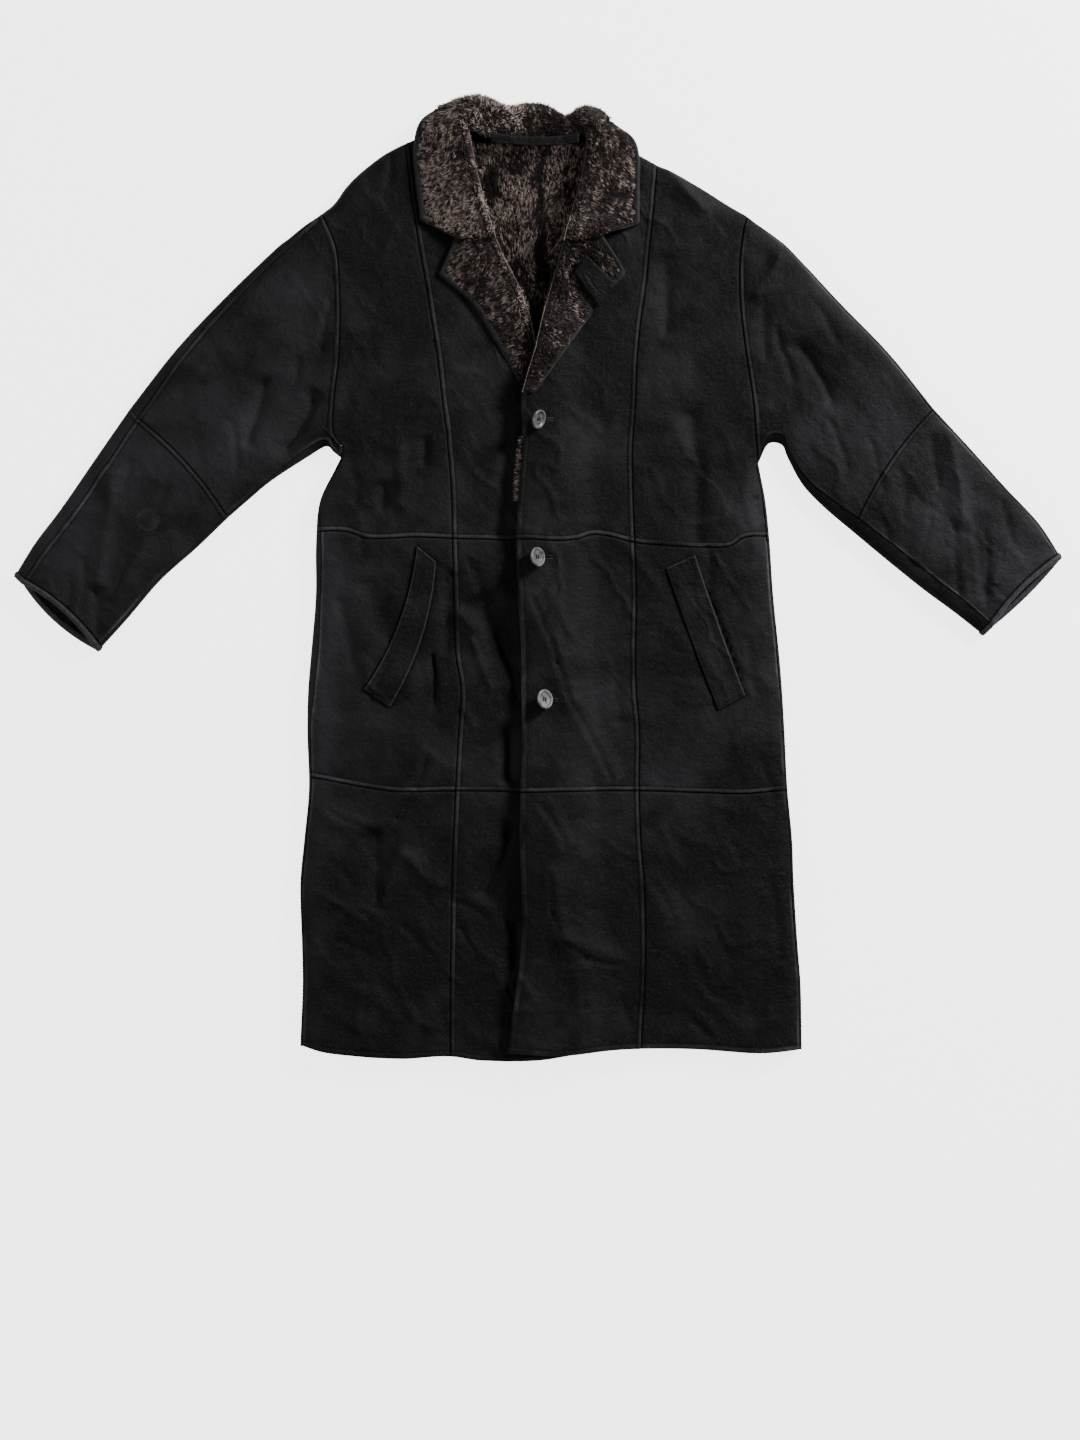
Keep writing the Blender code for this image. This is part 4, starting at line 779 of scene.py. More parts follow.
def makeLeather(name, kind, roughness, grainSize, grainDepth):
    material, tree, shader = newMaterial(name, roughness, {"Specular IOR Level": 0.16, "Sheen Weight": 0.03,
                                         "Sheen Roughness": 0.45})
    at = addNode(tree, "ShaderNodeTexCoord").outputs["Object"]
    patches = noise(tree, at, 0.07, 4, 0.6)  # dye takes unevenly, in patches some 70 mm wide
    nap = noise(tree, at, 0.009, 5, 0.7)  # strokes in the nap
    pores = noise(tree, at, grainSize, 3, 0.6)
    grain = noise(tree, at, 0.0026, 3, 0.65)  # coarser than the pores, so that it shows at arm's length
    dark, mid, worn = (shades[kind + step] for step in ("Dark", "Mid", "Worn"))
    base = blend(tree, dark, mid, scaled(tree, patches, 0.34, 0.68, 0, 1))
    base = blend(tree, base, mid, scaled(tree, nap, 0.42, 0.72, 0, 0.55))
    base = blend(tree, base, shades["greyed"], scaled(tree, grain, 0.5, 0.72, 0, 0.42))
    wornShare = times(tree, attribute(tree, "worn"), scaled(tree, nap, 0.3, 0.6, 0.45, 1))
    # greyer where the nap is rubbed and where sheen is painted in, blacker where shade is painted in
    base = blend(tree, base, shades["greyed"], scaled(tree, attribute(tree, "rubbedNapAndPaintedLight"), 0, 1, 0, 0.8))
    base = blend(tree, base, worn, wornShare)
    # painted shade: the dark share blackens seams' ditches, stitch grooves, slits and the skin along the
    # welts' edges
    base = blend(tree, base, shades["ditch"], attribute(tree, "dark"))
    tree.links.new(base, shader.inputs["Base Color"])
    uneven = scaled(tree, nap, 0.3, 0.7, roughness - 0.08, roughness + 0.08)
    tree.links.new(uneven, shader.inputs["Roughness"])
    soft = bump(tree, grain, 0.0007, 0.8, bump(tree, nap, 0.003, 0.9))
    tree.links.new(bump(tree, pores, grainDepth, 0.8, soft), shader.inputs["Normal"])
    return material


# Shearling worn skin side out, dyed black: matt, with a short nap and a grain of fine pores.
leather = makeLeather("blackNappaShearling", "leather", 0.62, 0.0014, 0.0003)
# Smooth drummed lamb leather for the bound edges: a little glossier and greyer than the skin.
binding = makeLeather("blackLambBinding", "binding", 0.5, 0.0011, 0.00018)


def makeWoolSkin():
    # The sheared wool's own ground: dull dark brown, lost between the locks.
    material, tree, shader = newMaterial("brownShearedWoolGround", 0.95, {"Specular IOR Level": 0.1})
    at = addNode(tree, "ShaderNodeTexCoord").outputs["Object"]
    fleece = noise(tree, at, 0.004, 4, 0.7)
    base = blend(tree, shades["skin"], shades["furBody"], scaled(tree, fleece, 0.35, 0.75, 0, 0.8))
    tree.links.new(base, shader.inputs["Base Color"])
    tree.links.new(bump(tree, fleece, 0.002, 0.8), shader.inputs["Normal"])
    return material


def makeFur():
    # Curly locks: near black at the root, brown along the staple, frosted pale at some of the tips.
    material, tree, shader = newMaterial("frostedShearlingWool", 0.7, {"Specular IOR Level": 0.2,
                                         "Sheen Weight": 0.15, "Sheen Roughness": 0.5})
    along, shade = attribute(tree, "along"), attribute(tree, "shade")
    body = blend(tree, shades["furRoot"], shades["furBody"], scaled(tree, along, 0.05, 0.55, 0, 1))
    tip = times(tree, scaled(tree, along, 0.3, 0.95, 0, 1), scaled(tree, shade, 0.45, 1.1, 0, 1))
    body = blend(tree, body, shades["furTip"], tip)
    body = blend(tree, shades["furRoot"], body, scaled(tree, shade, 0, 0.5, 0.05, 1))
    tree.links.new(body, shader.inputs["Base Color"])
    return material


def makeHorn():
    # Pressed horn: grey, clouded with paler and darker veins, polished by wear.
    material, tree, shader = newMaterial("greyPressedHorn", 0.38, {"Specular IOR Level": 0.5})
    at = addNode(tree, "ShaderNodeTexCoord").outputs["Object"]
    clouds, grit = noise(tree, at, 0.006, 4, 0.65), noise(tree, at, 0.0011, 2, 0.5)
    base = blend(tree, shades["hornDark"], shades["horn"], scaled(tree, clouds, 0.35, 0.55, 0, 1))
    base = blend(tree, base, shades["hornPale"], scaled(tree, clouds, 0.55, 0.75, 0, 0.8))
    base = blend(tree, base, shades["hornDark"], scaled(tree, grit, 0.55, 0.75, 0, 0.5))
    # painted shade: the dark share darkens a button's face
    base = blend(tree, base, shades["ditch"], attribute(tree, "dark"))
    tree.links.new(base, shader.inputs["Base Color"])
    tree.links.new(bump(tree, grit, 0.0001, 0.5), shader.inputs["Normal"])
    return material


def makeThread(name, colour, paler):
    # Waxed polyester thread: a twisted ply that shows as small slanted ridges.
    material, tree, shader = newMaterial(name, 0.55, {"Specular IOR Level": 0.35})
    at = addNode(tree, "ShaderNodeTexCoord").outputs["Object"]
    ply = addNode(tree, "ShaderNodeTexWave", {"bands_direction": "DIAGONAL"}, {"Scale": 900.0},
                  {"Vector": at}).outputs["Fac"]
    tree.links.new(blend(tree, colour, paler, ply), shader.inputs["Base Color"])
    tree.links.new(bump(tree, ply, 0.0001, 0.6), shader.inputs["Normal"])
    return material


def makeHideLine():
    # Undyed cut edge of the hide: dull beige, browner where wool has stained it.
    material, tree, shader = newMaterial("cutHideEdge", 0.8, {"Specular IOR Level": 0.15})
    at = addNode(tree, "ShaderNodeTexCoord").outputs["Object"]
    stain = noise(tree, at, 0.018, 3, 0.6)
    base = blend(tree, shades["furBody"], shades["hideEdge"], scaled(tree, stain, 0.3, 0.5, 0.3, 1))
    tree.links.new(base, shader.inputs["Base Color"])
    return material


woolSkin, fur, horn, hideLine = makeWoolSkin(), makeFur(), makeHorn(), makeHideLine()
blackThread = makeThread("blackPolyesterThread", shades["blackThread"], "302F30")
greyThread = makeThread("greyButtonholeThread", "3E3E3D", "2A2A29")
report("materials are ready")

threads = []  # runs of topstitching: points along a seam


def layThread(xyz):
    threads.append(np.asarray(xyz, float))


def surface(xy):  # height of a front or a sleeve, with its folds
    return upperFace(outline.away(xy)) + foldHeight(xy) + softness(xy)


# Patches sewn on: four corners, and how far their long sides curve.

patches = {
    "pocket_welt_right": {"corners": [(-157, 42), (-132, 21), (-192, -168), (-226, -144)], "bow": -12.5,
                          "thick": 2.7},
    "pocket_welt_left": {"corners": [(166, 13), (204, 30), (269, -152), (234, -171)], "bow": 1.5,
                         "thick": 2.7},
    "lapel_tab": {"corners": [(61, 418), (46, 395), (80, 349), (100, 381)], "bow": 0.0, "thick": 4.2},
    "hanger_loop": {"corners": [(-61, 577.5), (-61, 565.5), (53, 562.5), (53, 574.5)], "bow": 4.0,
                    "thick": 3.2},
}
patchEdge = [(0, -2.4), (0.4, -1.3), (1.1, -0.35), (2.2, 0), (3.2, 0.05)]


def patchGrid(name, cell):
    facts = patches[name]
    a, b, c, d = (np.array(corner, float) for corner in facts["corners"])
    wide, tall = np.hypot(*(b - a)), np.hypot(*(d - a))
    near = np.array([w for w, _ in patchEdge])

    def shares(length):
        inner = np.linspace(near[-1], length - near[-1], max(3, round((length - 2 * near[-1]) / cell)))
        return np.concatenate([near[:-1], inner, length - near[:-1][::-1]]) / length

    us, vs = shares(wide), shares(tall)
    u, v = (part[..., None] for part in np.meshgrid(us, vs))
    xy = (a * (1 - u) + b * u) * (1 - v) + (d * (1 - u) + c * u) * v
    run = (c + d - a - b) / 2
    normal = np.array([run[1], -run[0]]) / np.hypot(*run)
    xy = xy + normal * facts["bow"] * 4 * v * (1 - v)
    return xy, u[..., 0] * wide, v[..., 0] * tall, wide, tall


def borderOf(xy):
    return np.concatenate([xy[0], xy[1:, -1], xy[-1, -2::-1], xy[-2::-1, 0]])


welts = ("pocket_welt_right", "pocket_welt_left")
weltEdges = Outline([borderOf(patchGrid(name, 6)[0]) for name in welts])


# The fronts: three tiers by two widths on each side.

panelCut = {"cell": 3.1, "armCell": 3.1, "backCell": 7.0, "width": 150, "tierHeight": {"lower": 335,
            "middle": 330, "upper": 500}, "stitchLift": 0.12}


def tierLines(side, tier):
    low = {"lower": hem, "middle": thighSeam, "upper": waistSeam}[tier][side]
    high = {"lower": thighSeam, "middle": waistSeam, "upper": shoulder}[tier][side]
    return (lambda x: seamLine(low, x)), (lambda x: seamLine(high, x))


def threadsOf(xyz, columns, rows, kinds):
    for kind, at, table, end in ((kinds[0], 1, columns, 0), (kinds[1], 1, columns, 1),
                                 (kinds[2], 0, rows, 0), (kinds[3], 0, rows, 1)):
        if kind in stitchAt:
            wanted = stitchAt[kind] * (1 if end == 0 else -1)
            line = int(np.argmin(np.abs(table[:, 1] - wanted) + 99 * (table[:, 0] != end)))
            run = xyz[:, line] if at else xyz[line]
            layThread(run + (0, 0, panelCut["stitchLift"]))


def makeFront(side, tier, panel):
    low, high = tierLines(side, tier)
    princess = lambda y: bodyLine(side + "Princess", y)
    foot = "edge" if tier == "lower" else "lap"
    head = "side" if tier == "upper" else "under"
    if panel == "side":
        left, right = (lambda y: sideSeam(side, y)), princess
        kinds = ("under" if tier == "upper" else "side", "under", foot, head)
    else:
        left, right = princess, (lambda y: frontEdge(side, y))
        kinds = ("lap", "edge", foot, head)
    columns = bands(panelCut["width"], panelCut["cell"], kinds[0], kinds[1])
    rows = bands(panelCut["tierHeight"][tier], panelCut["cell"], kinds[2], kinds[3])
    xy = inset(between(left, right, low, high, columns, rows, -sign(side)))
    lift, worn, dark = seamLift(xy, kinds)
    hollow, shadow = slitMarks(xy)
    if (tier, panel) == ("middle", "side"):  # the skin dips along a welt's edge
        near = weltEdges.away(xy)
        shadow = np.maximum(shadow, 0.9 * ridge(near, 0, 1.3) + 0.3 * ridge(near, 0, 5))
        hollow = hollow - 0.5 * ridge(near, 0, 4)
    dark = np.maximum(dark, shadow)
    top = surface(xy) + lift + hollow
    bottom = np.full(top.shape, cut["frontZ"])
    node = f"front_{side}_{tier}_{panel}"
    over = side == "left" and panel == "centre"
    if over:
        raised = castOn(xy, [f"front_left_{t}_centre" for t in ("lower", "middle", "upper")], upwards=True)
        raised = soften(np.maximum(0, raised - cut["frontZ"]), 24)
        top, bottom = top + raised, bottom + raised + 0.2
    threadsOf(np.dstack([xy, top]), columns, rows, kinds)
    marks = {"worn": worn * (1 - shadow), "dark": dark, "rubbedNapAndPaintedLight": greyed(xy)}
    obj = wall(node + "_skin", xy, top, bottom, leather, marks, flatUnder=not over)
    finishPiece(obj, "sheepskin", [node], np.dstack([xy, top]), [f"back_{side}_{tier}_skin"])
    return xy, top


frontTops = {}
for side in ("right", "left"):
    for tier in ("lower", "middle", "upper"):
        for panel in ("side", "centre"):
            frontTops[side, tier, panel] = makeFront(side, tier, panel)
report("fronts are cut")


# The back: six panels, whose sides wrap up round the fronts as far as the side seams.

wrapShares = (0, 0.2, 0.4, 0.6, 0.8)


def underRelief(xy, kinds):
    # The side that it lies on: level, with lapped seams and a few creases pressed up into it
    lift, worn, dark = seamLift(xy, kinds)
    mirrored = np.dstack([-xy[..., 0], xy[..., 1] + 35])
    dents = 0.6 * np.clip(-foldHeight(mirrored), 0, 4)
    return np.maximum(0, 0.9 - 0.7 * lift + dents), worn, dark


def makeBack(side, tier):
    low, high = tierLines(side, tier)

    def topLine(x):
        neck = (x > backNeck[0][0]) & (x < backNeck[-1][0])
        return np.where(neck & (tier == "upper"), seamLine(backNeck, x) + cut["neckTuck"], high(x))

    kinds = ("plain", "side", "edge" if tier == "lower" else "lap", "side" if tier == "upper" else "under")
    columns = bands(300, panelCut["backCell"], "plain", "side")
    rows = bands(panelCut["tierHeight"][tier], panelCut["backCell"], kinds[2], kinds[3])
    middle = lambda y: np.full_like(y, cut["centreBack"])
    plate = between(lambda y: sideSeam(side, y), middle, low, topLine, columns, rows, -sign(side))
    edge = np.stack([bodyLine(side + "Side", plate[:, 0, 1]), plate[:, 0, 1]], -1)
    width = np.abs(plate[:, 0, 0] - edge[:, 0])
    folded = width >= cut["leastWrap"]
    width = np.maximum(width, cut["leastWrap"])
    inward = [width * share for share in wrapShares] + [width - cut["gap"] / 2, width + cut["gap"] / 2]
    strip = np.stack([edge - np.stack([sign(side) * w, 0 * w], -1) for w in inward], 1)
    xy = np.concatenate([strip, plate[:, 1:]], axis=1)
    inside = outline.away(xy)
    top = np.full(xy.shape[:2], cut["wall"])
    wraps = len(wrapShares) + 1
    raised = upperFace(inside)[:, :wraps] + seamLift(xy, kinds)[0][:, :wraps] * 0.6
    top[:, :wraps] = np.where(folded[:, None], raised, cut["wall"])
    if tier == "upper":  # sinks below the fleece of the lining
        x, y = xy[..., 0], xy[..., 1]
        neck = (x > bodyLine("underEdge", y) - 12) & (x < bodyLine("overEdge", y) + 12) & (y > 285)
        top = np.where(neck, 7.5, top)
    relief, worn, dark = underRelief(xy, kinds)
    bottom = underFace(inside) + relief * np.clip(inside / 12, 0, 1)
    bottom = np.minimum(bottom, top - 1.5)
    node = f"back_{side}_{tier}"
    marks = {"worn": worn, "dark": dark * 0.9, "rubbedNapAndPaintedLight": greyed(xy)}
    obj = wall(node + "_skin", xy, top, bottom, leather, marks, flatUnder=False)
    woolInside(obj, lambda z, normal: (normal > 0.9) & (z < cut["wall"] + 0.2))
    finishPiece(obj, "sheepskin", [node], np.dstack([xy, bottom]), [])


def woolInside(obj, chooses):  # the wool side shows inside the neck and the cuffs
    obj.data.materials.append(woolSkin)
    for polygon in obj.data.polygons:
        if chooses(polygon.center.z / mm, polygon.normal.z):
            polygon.material_index = 1


for side in ("right", "left"):
    for tier in ("lower", "middle", "upper"):
        makeBack(side, tier)
report("backs are cut")


# The sleeves, each in an upper and a lower part, with a front and a back.


def sleeveGrid(side, part, columns, rows, bow, seam=True, start=0.0, stop=1.0):
    table = sleeveRows[side][part]
    path = sections(table, np.linspace(0, 1, 60))
    outerLength, innerLength = (np.hypot(*np.diff(path[:, k:k + 2], axis=0).T).sum() for k in (0, 2))
    u0, t0 = np.meshgrid(columns[:, 0], rows[:, 0])
    du, dt = np.meshgrid(columns[:, 1], rows[:, 1])
    t = start + t0 * (stop - start) + dt / (outerLength * (1 - u0) + innerLength * u0)
    ends = sections(table, t)
    outer, inner = ends[..., 0:2], ends[..., 2:4]
    width = np.hypot(*np.moveaxis(inner - outer, -1, 0))[..., None]
    unit = (inner - outer) / width
    if seam:
        outer, inner = outer + unit * ends[..., 4:5], inner - unit * ends[..., 5:6]
        width = width - ends[..., 4:5] - ends[..., 5:6]
    u = (u0 + du / width[..., 0])[..., None]
    xy = outer * (1 - u) + inner * u

    def bowAt(row, height):
        ox, oy, ix, iy = table[row][:4]
        run = np.array([ix - ox, iy - oy], float)
        normal = np.array([-run[1], run[0]]) / np.hypot(*run) * -sign(side)
        return normal * height * 4 * u * (1 - u)

    if part == "upper":
        ox, oy, ix, iy, wrapOut, wrapIn = table[0]
        tip = shoulder[side][0 if side == "right" else -1][1]
        holeY = tip + (armpit[side] - tip) * u[..., 0]
        hole = np.dstack([bodyLine(side + "Side", holeY), holeY])
        begin, finish = np.array([ox, oy], float), np.array([ix, iy], float)
        if seam:
            along = (finish - begin) / np.hypot(*(finish - begin))
            begin, finish = begin + along * wrapOut, finish - along * wrapIn
        first, last = hole - (begin * (1 - u) + finish * u), bowAt(-1, cut["elbowBow"])
    else:
        first, last = bowAt(0, cut["elbowBow"]), bowAt(-1, bow)
    t = t[..., None]
    return xy + first * (1 - t) ** 2 + last * t**2


cuffStart = 1 - cut["cuffBinding"] / cut["lowerLength"]


def makeSleeveFront(side, part):
    kinds = ("lap" if side == "right" else "side", "side", "lap", "under")
    stop = cuffStart if part == "lower" else 1.0
    columns = bands(145 if part == "lower" else 220, panelCut["armCell"], kinds[0], kinds[1])
    rows = bands(220, panelCut["armCell"], kinds[2], kinds[3])
    xy = inset(sleeveGrid(side, part, columns, rows, cuffBow[side]["front"], stop=stop))
    lift, worn, dark = seamLift(xy, kinds)
    top = surface(xy) + lift
    bottom = np.full(top.shape, cut["frontZ"])
    marks = {"worn": worn, "dark": dark, "rubbedNapAndPaintedLight": greyed(xy)}
    if (side, part) == ("right", "lower"):
        pressRound(xy, top, marks)
    threadsOf(np.dstack([xy, top]), columns, rows, kinds)
    node = f"sleeve_{side}_{part}_front"
    obj = wall(node + "_skin", xy, top, bottom, leather, marks)
    finishPiece(obj, "sheepskin", [node], np.dstack([xy, top]), [f"sleeve_{side}_{part}_back_skin"])


pressed = {"x": -506, "y": 76, "radius": 13.0, "width": 1.5, "depth": 0.5}  # a mark from something round


def pressRound(xy, top, marks):
    away = np.hypot(xy[..., 0] - pressed["x"], xy[..., 1] - pressed["y"])
    ring = ridge(away, pressed["radius"], pressed["width"])
    inner = np.clip((pressed["radius"] - away) / 3, 0, 1)
    top -= pressed["depth"] * (ring + 0.5 * inner)
    marks["worn"] = np.maximum(marks["worn"], 0.24 * ring + 0.07 * inner)


def sleeveBackGrid(side, part, rows, bow, start=0.0, stop=1.0):
    edges = np.array([(0, 0), (0.045, 0), (0.955, 0), (1, 0)], float)
    full = sleeveGrid(side, part, edges, rows, bow, False, start, stop)
    steps = np.array([(s, 0) for s in np.linspace(0, 1, 26)], float)
    seam = sleeveGrid(side, part, steps, rows, bow, True, start, stop)
    strips, tops = [], []
    for first, second, step in ((0, 1, 1), (-1, -2, -1)):
        edge, line = full[:, first], seam[:, first]
        width = np.hypot(*(line - edge).T)
        run = np.where((width > 0.5)[:, None], line - edge, full[:, second] - edge)
        unit = run / np.hypot(*run.T)[:, None]
        folded = width >= cut["leastWrap"]
        width = np.maximum(width, cut["leastWrap"])[:, None]
        inward = [width * share for share in wrapShares] + [width - cut["gap"] / 2, width + cut["gap"] / 2]
        strip = np.stack([edge + unit * w for w in inward], 1)
        raised = np.where(folded[:, None], upperFace(outline.away(strip)), cut["wall"])
        raised[:, -1] = cut["wall"]
        strips.append(strip[:, ::step])
        tops.append(raised[:, ::step])
    xy = np.concatenate([strips[0], seam[:, 1:-1], strips[1]], axis=1)
    plate = np.full((len(xy), seam.shape[1] - 2), cut["wall"])
    return xy, np.concatenate([tops[0], plate, tops[1]], axis=1)


def makeSleeveBack(side, part):
    rows = bands(220, panelCut["backCell"], "lap", "under")
    stop = cuffStart if part == "lower" else 1.0
    xy, top = sleeveBackGrid(side, part, rows, cuffBow[side]["back"], stop=stop)
    run = xy[0] - xy[1]
    xy[0] += 0.7 * run / np.hypot(*run.T)[:, None]  # closed under the seam above it
    kinds = ("plain", "plain", "lap", "under")
    lift = seamLift(xy, kinds)[0]
    wraps = len(wrapShares) + 1
    top[:, :wraps] += 0.6 * lift[:, :wraps]
    top[:, -wraps:] += 0.6 * lift[:, -wraps:]
    relief, worn, dark = underRelief(xy, kinds)
    inside = outline.away(xy)
    bottom = np.minimum(underFace(inside) + relief * np.clip(inside / 12, 0, 1), top - 1.5)
    node = f"sleeve_{side}_{part}_back"
    marks = {"worn": worn, "dark": dark, "rubbedNapAndPaintedLight": greyed(xy)}
    obj = wall(node + "_skin", xy, top, bottom, leather, marks, flatUnder=False)
    woolInside(obj, lambda z, normal: (normal > 0.9) & (z < cut["wall"] + 0.2))
    finishPiece(obj, "sheepskin", [node], np.dstack([xy, bottom]), [])


cuffProfile = {  # distance from the sleeve's seam, lift, rise of the underside
    "front": [(0, -1.2, 0), (0.5, -0.2, 0), (1.3, 0.9, 0), (2.6, 1.7, 0), (4.2, 2, 0), (5.6, 1.7, 0),
              (6.8, 0.8, 0.1), (7.8, -0.7, 0.6), (8.5, -2.4, 1.4), (9, -4.4, 2.6)],
    "back": [(0, -1, 0), (0.6, -0.1, 0), (1.6, 0.7, 0), (3.2, 1.2, 0), (5, 1.1, 0.1), (6.6, 0.4, 0.6),
             (7.8, -0.8, 1.4), (8.6, -2.2, 2.6), (9, -3.6, 3.8)],
}


def makeCuff(side, face):
    profile = cuffProfile[face]
    rows = np.array([(d / cut["cuffBinding"], 0) for d, *_ in profile])
    d, up, under = (np.array(column)[:, None] for column in zip(*profile))
    if face == "front":
        columns = bands(145, panelCut["armCell"], "side", "side")
        xy = inset(sleeveGrid(side, "lower", columns, rows, cuffBow[side][face], start=cuffStart))
        top = upperFace(outline.away(xy)) + up + 0.4 * softness(xy)
        bottom = np.full(top.shape, cut["frontZ"]) + under
    else:
        xy, top = sleeveBackGrid(side, "lower", rows, cuffBow[side][face], start=cuffStart)
        top, bottom = top + up, underFace(outline.away(xy)) + under
        swell = 1.8 * np.sin(pi * np.clip(d / 9.4, 0, 1)) ** 0.6  # it stands out past the sleeve's sides
        for edge, inner in ((0, 3), (-1, -4)):
            run = xy[:, edge] - xy[:, inner]
            xy[:, edge] += swell * run / np.hypot(*run.T)[:, None]
    top = np.maximum(top, bottom + 1)
    worn = np.broadcast_to(np.interp(d, [0, 2, 4, 6.5, 8, 9], [0, 0.6, 0.9, 0.6, 1, 0.4]), top.shape)
    # painted shade in the seam where the rim meets the sleeve
    dark = np.broadcast_to(np.interp(d, [0, 0.6, 1.2], [1, 0.7, 0]), top.shape)
    node = f"cuff_{side}_{face}"
    obj = wall(node + "_rim", xy, top, bottom, binding, {"worn": worn, "dark": dark}, flatUnder=False)
    other = f"cuff_{side}_back_rim"
    finishPiece(obj, "binding", [node], None, [other] if face == "front" else [])


for side in ("right", "left"):
    for part in ("upper", "lower"):
        makeSleeveFront(side, part)
        makeSleeveBack(side, part)
    makeCuff(side, "front")
    makeCuff(side, "back")
report("sleeves and cuffs are set in")


# The collar and the lapels: wool side out, rolled over a crest, bound in leather along the edge.

rollCut = {"cell": 2.4, "edgeSteps": 30, "turnSteps": 9, "furDepth": 3.2, "thinnest": 2.5}
bindingProfile = [(0, -4), (0.25, -2.7), (0.9, -0.8), (1.9, 0.5), (3.2, 0.95), (4.6, 1), (6, 0.85),
                  (7.2, 0.5), (8, 0), (8.5, -0.8)]


def rolled(rows, ts, width=0.0):
    ends = sections(rows, ts)
    edge, crest, inner = ends[:, 0:2], ends[:, 2:4], ends[:, 4:6]
    run = (crest - edge) / np.hypot(*(crest - edge).T)[:, None]
    edge = edge + run * np.asarray(width, float).reshape(-1, 1)
    out = np.sin(np.linspace(0, pi / 2, rollCut["edgeSteps"] + 1))  # closer together towards the crest
    turn = np.linspace(0, 1, rollCut["turnSteps"] + 1)[1:]
    xy = [edge + (crest - edge) * u for u in out] + [crest + (inner - crest) * u for u in turn]
    tops = [ends[:, 6] + (ends[:, 7] - ends[:, 6]) * quarter(u, 1.0) for u in out]
    tops += [ends[:, 8] + (ends[:, 7] - ends[:, 8]) * np.sqrt(1 - u**2) for u in turn]
    return np.stack(xy, 1), np.stack(tops, 1), np.concatenate([out, 1 + turn])


def rollSteps(rows, last):  # even steps along the edge, with the table's own rows among them
    path = sections(rows, np.linspace(0, last, 400))[:, 0:2]
    far = np.concatenate([[0], np.cumsum(np.hypot(*np.diff(path, axis=0).T))])
    even = np.interp(np.arange(0, far[-1], rollCut["cell"]), far, np.linspace(0, last, 400))
    corners = np.arange(0, last * (len(rows) - 1) + 1e-6, 1) / (len(rows) - 1)
    return np.unique(np.round(np.concatenate([even, corners, [last]]), 6))


furBeds = []  # where wool grows: name, grid of points, comb, tone, length


def makeRolled(name, rows, bound):
    last = bound / (len(rows) - 1)
    ts = rollSteps(rows, last)
    if last < 1:
        ts = np.concatenate([ts, np.linspace(last, 1, 30)[1:]])
    width = np.where(ts <= last + 1e-9, cut["binding"] - 0.6, 0)  # its ground runs in under the binding
    xy, top, u = rolled(rows, ts, width)
    under = soften(castOn(xy, [name], upwards=True), 3)
    top = np.maximum(top, under + rollCut["thinnest"])
    top = top + 0.6 * mottle(xy, 34, 21) + 0.9 * mottle(xy, 11, 22)
    ground = np.maximum(top - rollCut["furDepth"], under + 1.2)
    obj = wall(name + "_ground", xy, ground, under + 0.2, woolSkin, flatUnder=False, sharp=60)
    front = f"front_{name.split('_')[1]}_upper_"
    finishPiece(obj, "wool", [name], np.dstack([xy, ground]), [front + "centre_skin", front + "side_skin"])
    ends = sections(rows, ts)
    out = ends[:, 0:2] - ends[:, 2:4]
    out = out / np.hypot(*out.T)[:, None]
    furBeds.append((name, np.dstack([xy, ground]), out, u))
    return ts


def makeBinding(name, rows, ts):
    ends = sections(rows, ts)
    edge, crest = ends[:, 0:2], ends[:, 2:4]
    run = (crest - edge) / np.hypot(*(crest - edge).T)[:, None]
    xy = inset(np.stack([edge + run * w for w, _ in bindingProfile], 1))
    top = np.stack([ends[:, 6] + lift for _, lift in bindingProfile], 1)
    under = soften(castOn(xy, [name], upwards=True), 2)
    top = np.maximum(top, under + 1.6 + np.array([lift for _, lift in bindingProfile]) * 0.25)
    top += 0.25 * mottle(xy, 9, 31)
    worn = np.interp([w for w, _ in bindingProfile], [0, 1.5, 4, 7, 8.5], [0.4, 0.45, 0.1, 0.2, 0])
    # painted shade where the binding's inner edge turns down against the wool
    dark = np.interp([w for w, _ in bindingProfile], [0, 7.4, 8.5], [0, 0, 0.9])
    spread = lambda values: np.broadcast_to(values, top.shape)
    obj = wall(name + "_strip", xy, top, under + 0.2, binding, {"worn": spread(worn), "dark": spread(dark)},
               flatUnder=False)
    finishPiece(obj, "binding", [name], None, [name.replace("binding_", "") + "_ground"])
    layThread(np.dstack([xy, top])[:, 7] + (0, 0, 0.1))


for side in ("right", "left"):
    ts = makeRolled(f"lapel_{side}", lapelRows[side], len(lapelRows[side]) - 1)
    makeBinding(f"lapel_binding_{side}", lapelRows[side], ts)
    ts = makeRolled(f"collar_{side}", collarRows[side], bindingEnds)
    makeBinding(f"collar_binding_{side}", collarRows[side],
                ts[ts <= bindingEnds / (len(collarRows[side]) - 1) + 1e-9])
report("collar and lapels are rolled")


# Pocket welts, the tab, the hanging loop.

def rimmed(far):
    return np.interp(far, *zip(*patchEdge))


weltCut = {"mouthStitch": 10.0, "footStitch": 7.0, "lip": 0.8, "groove": 0.5}


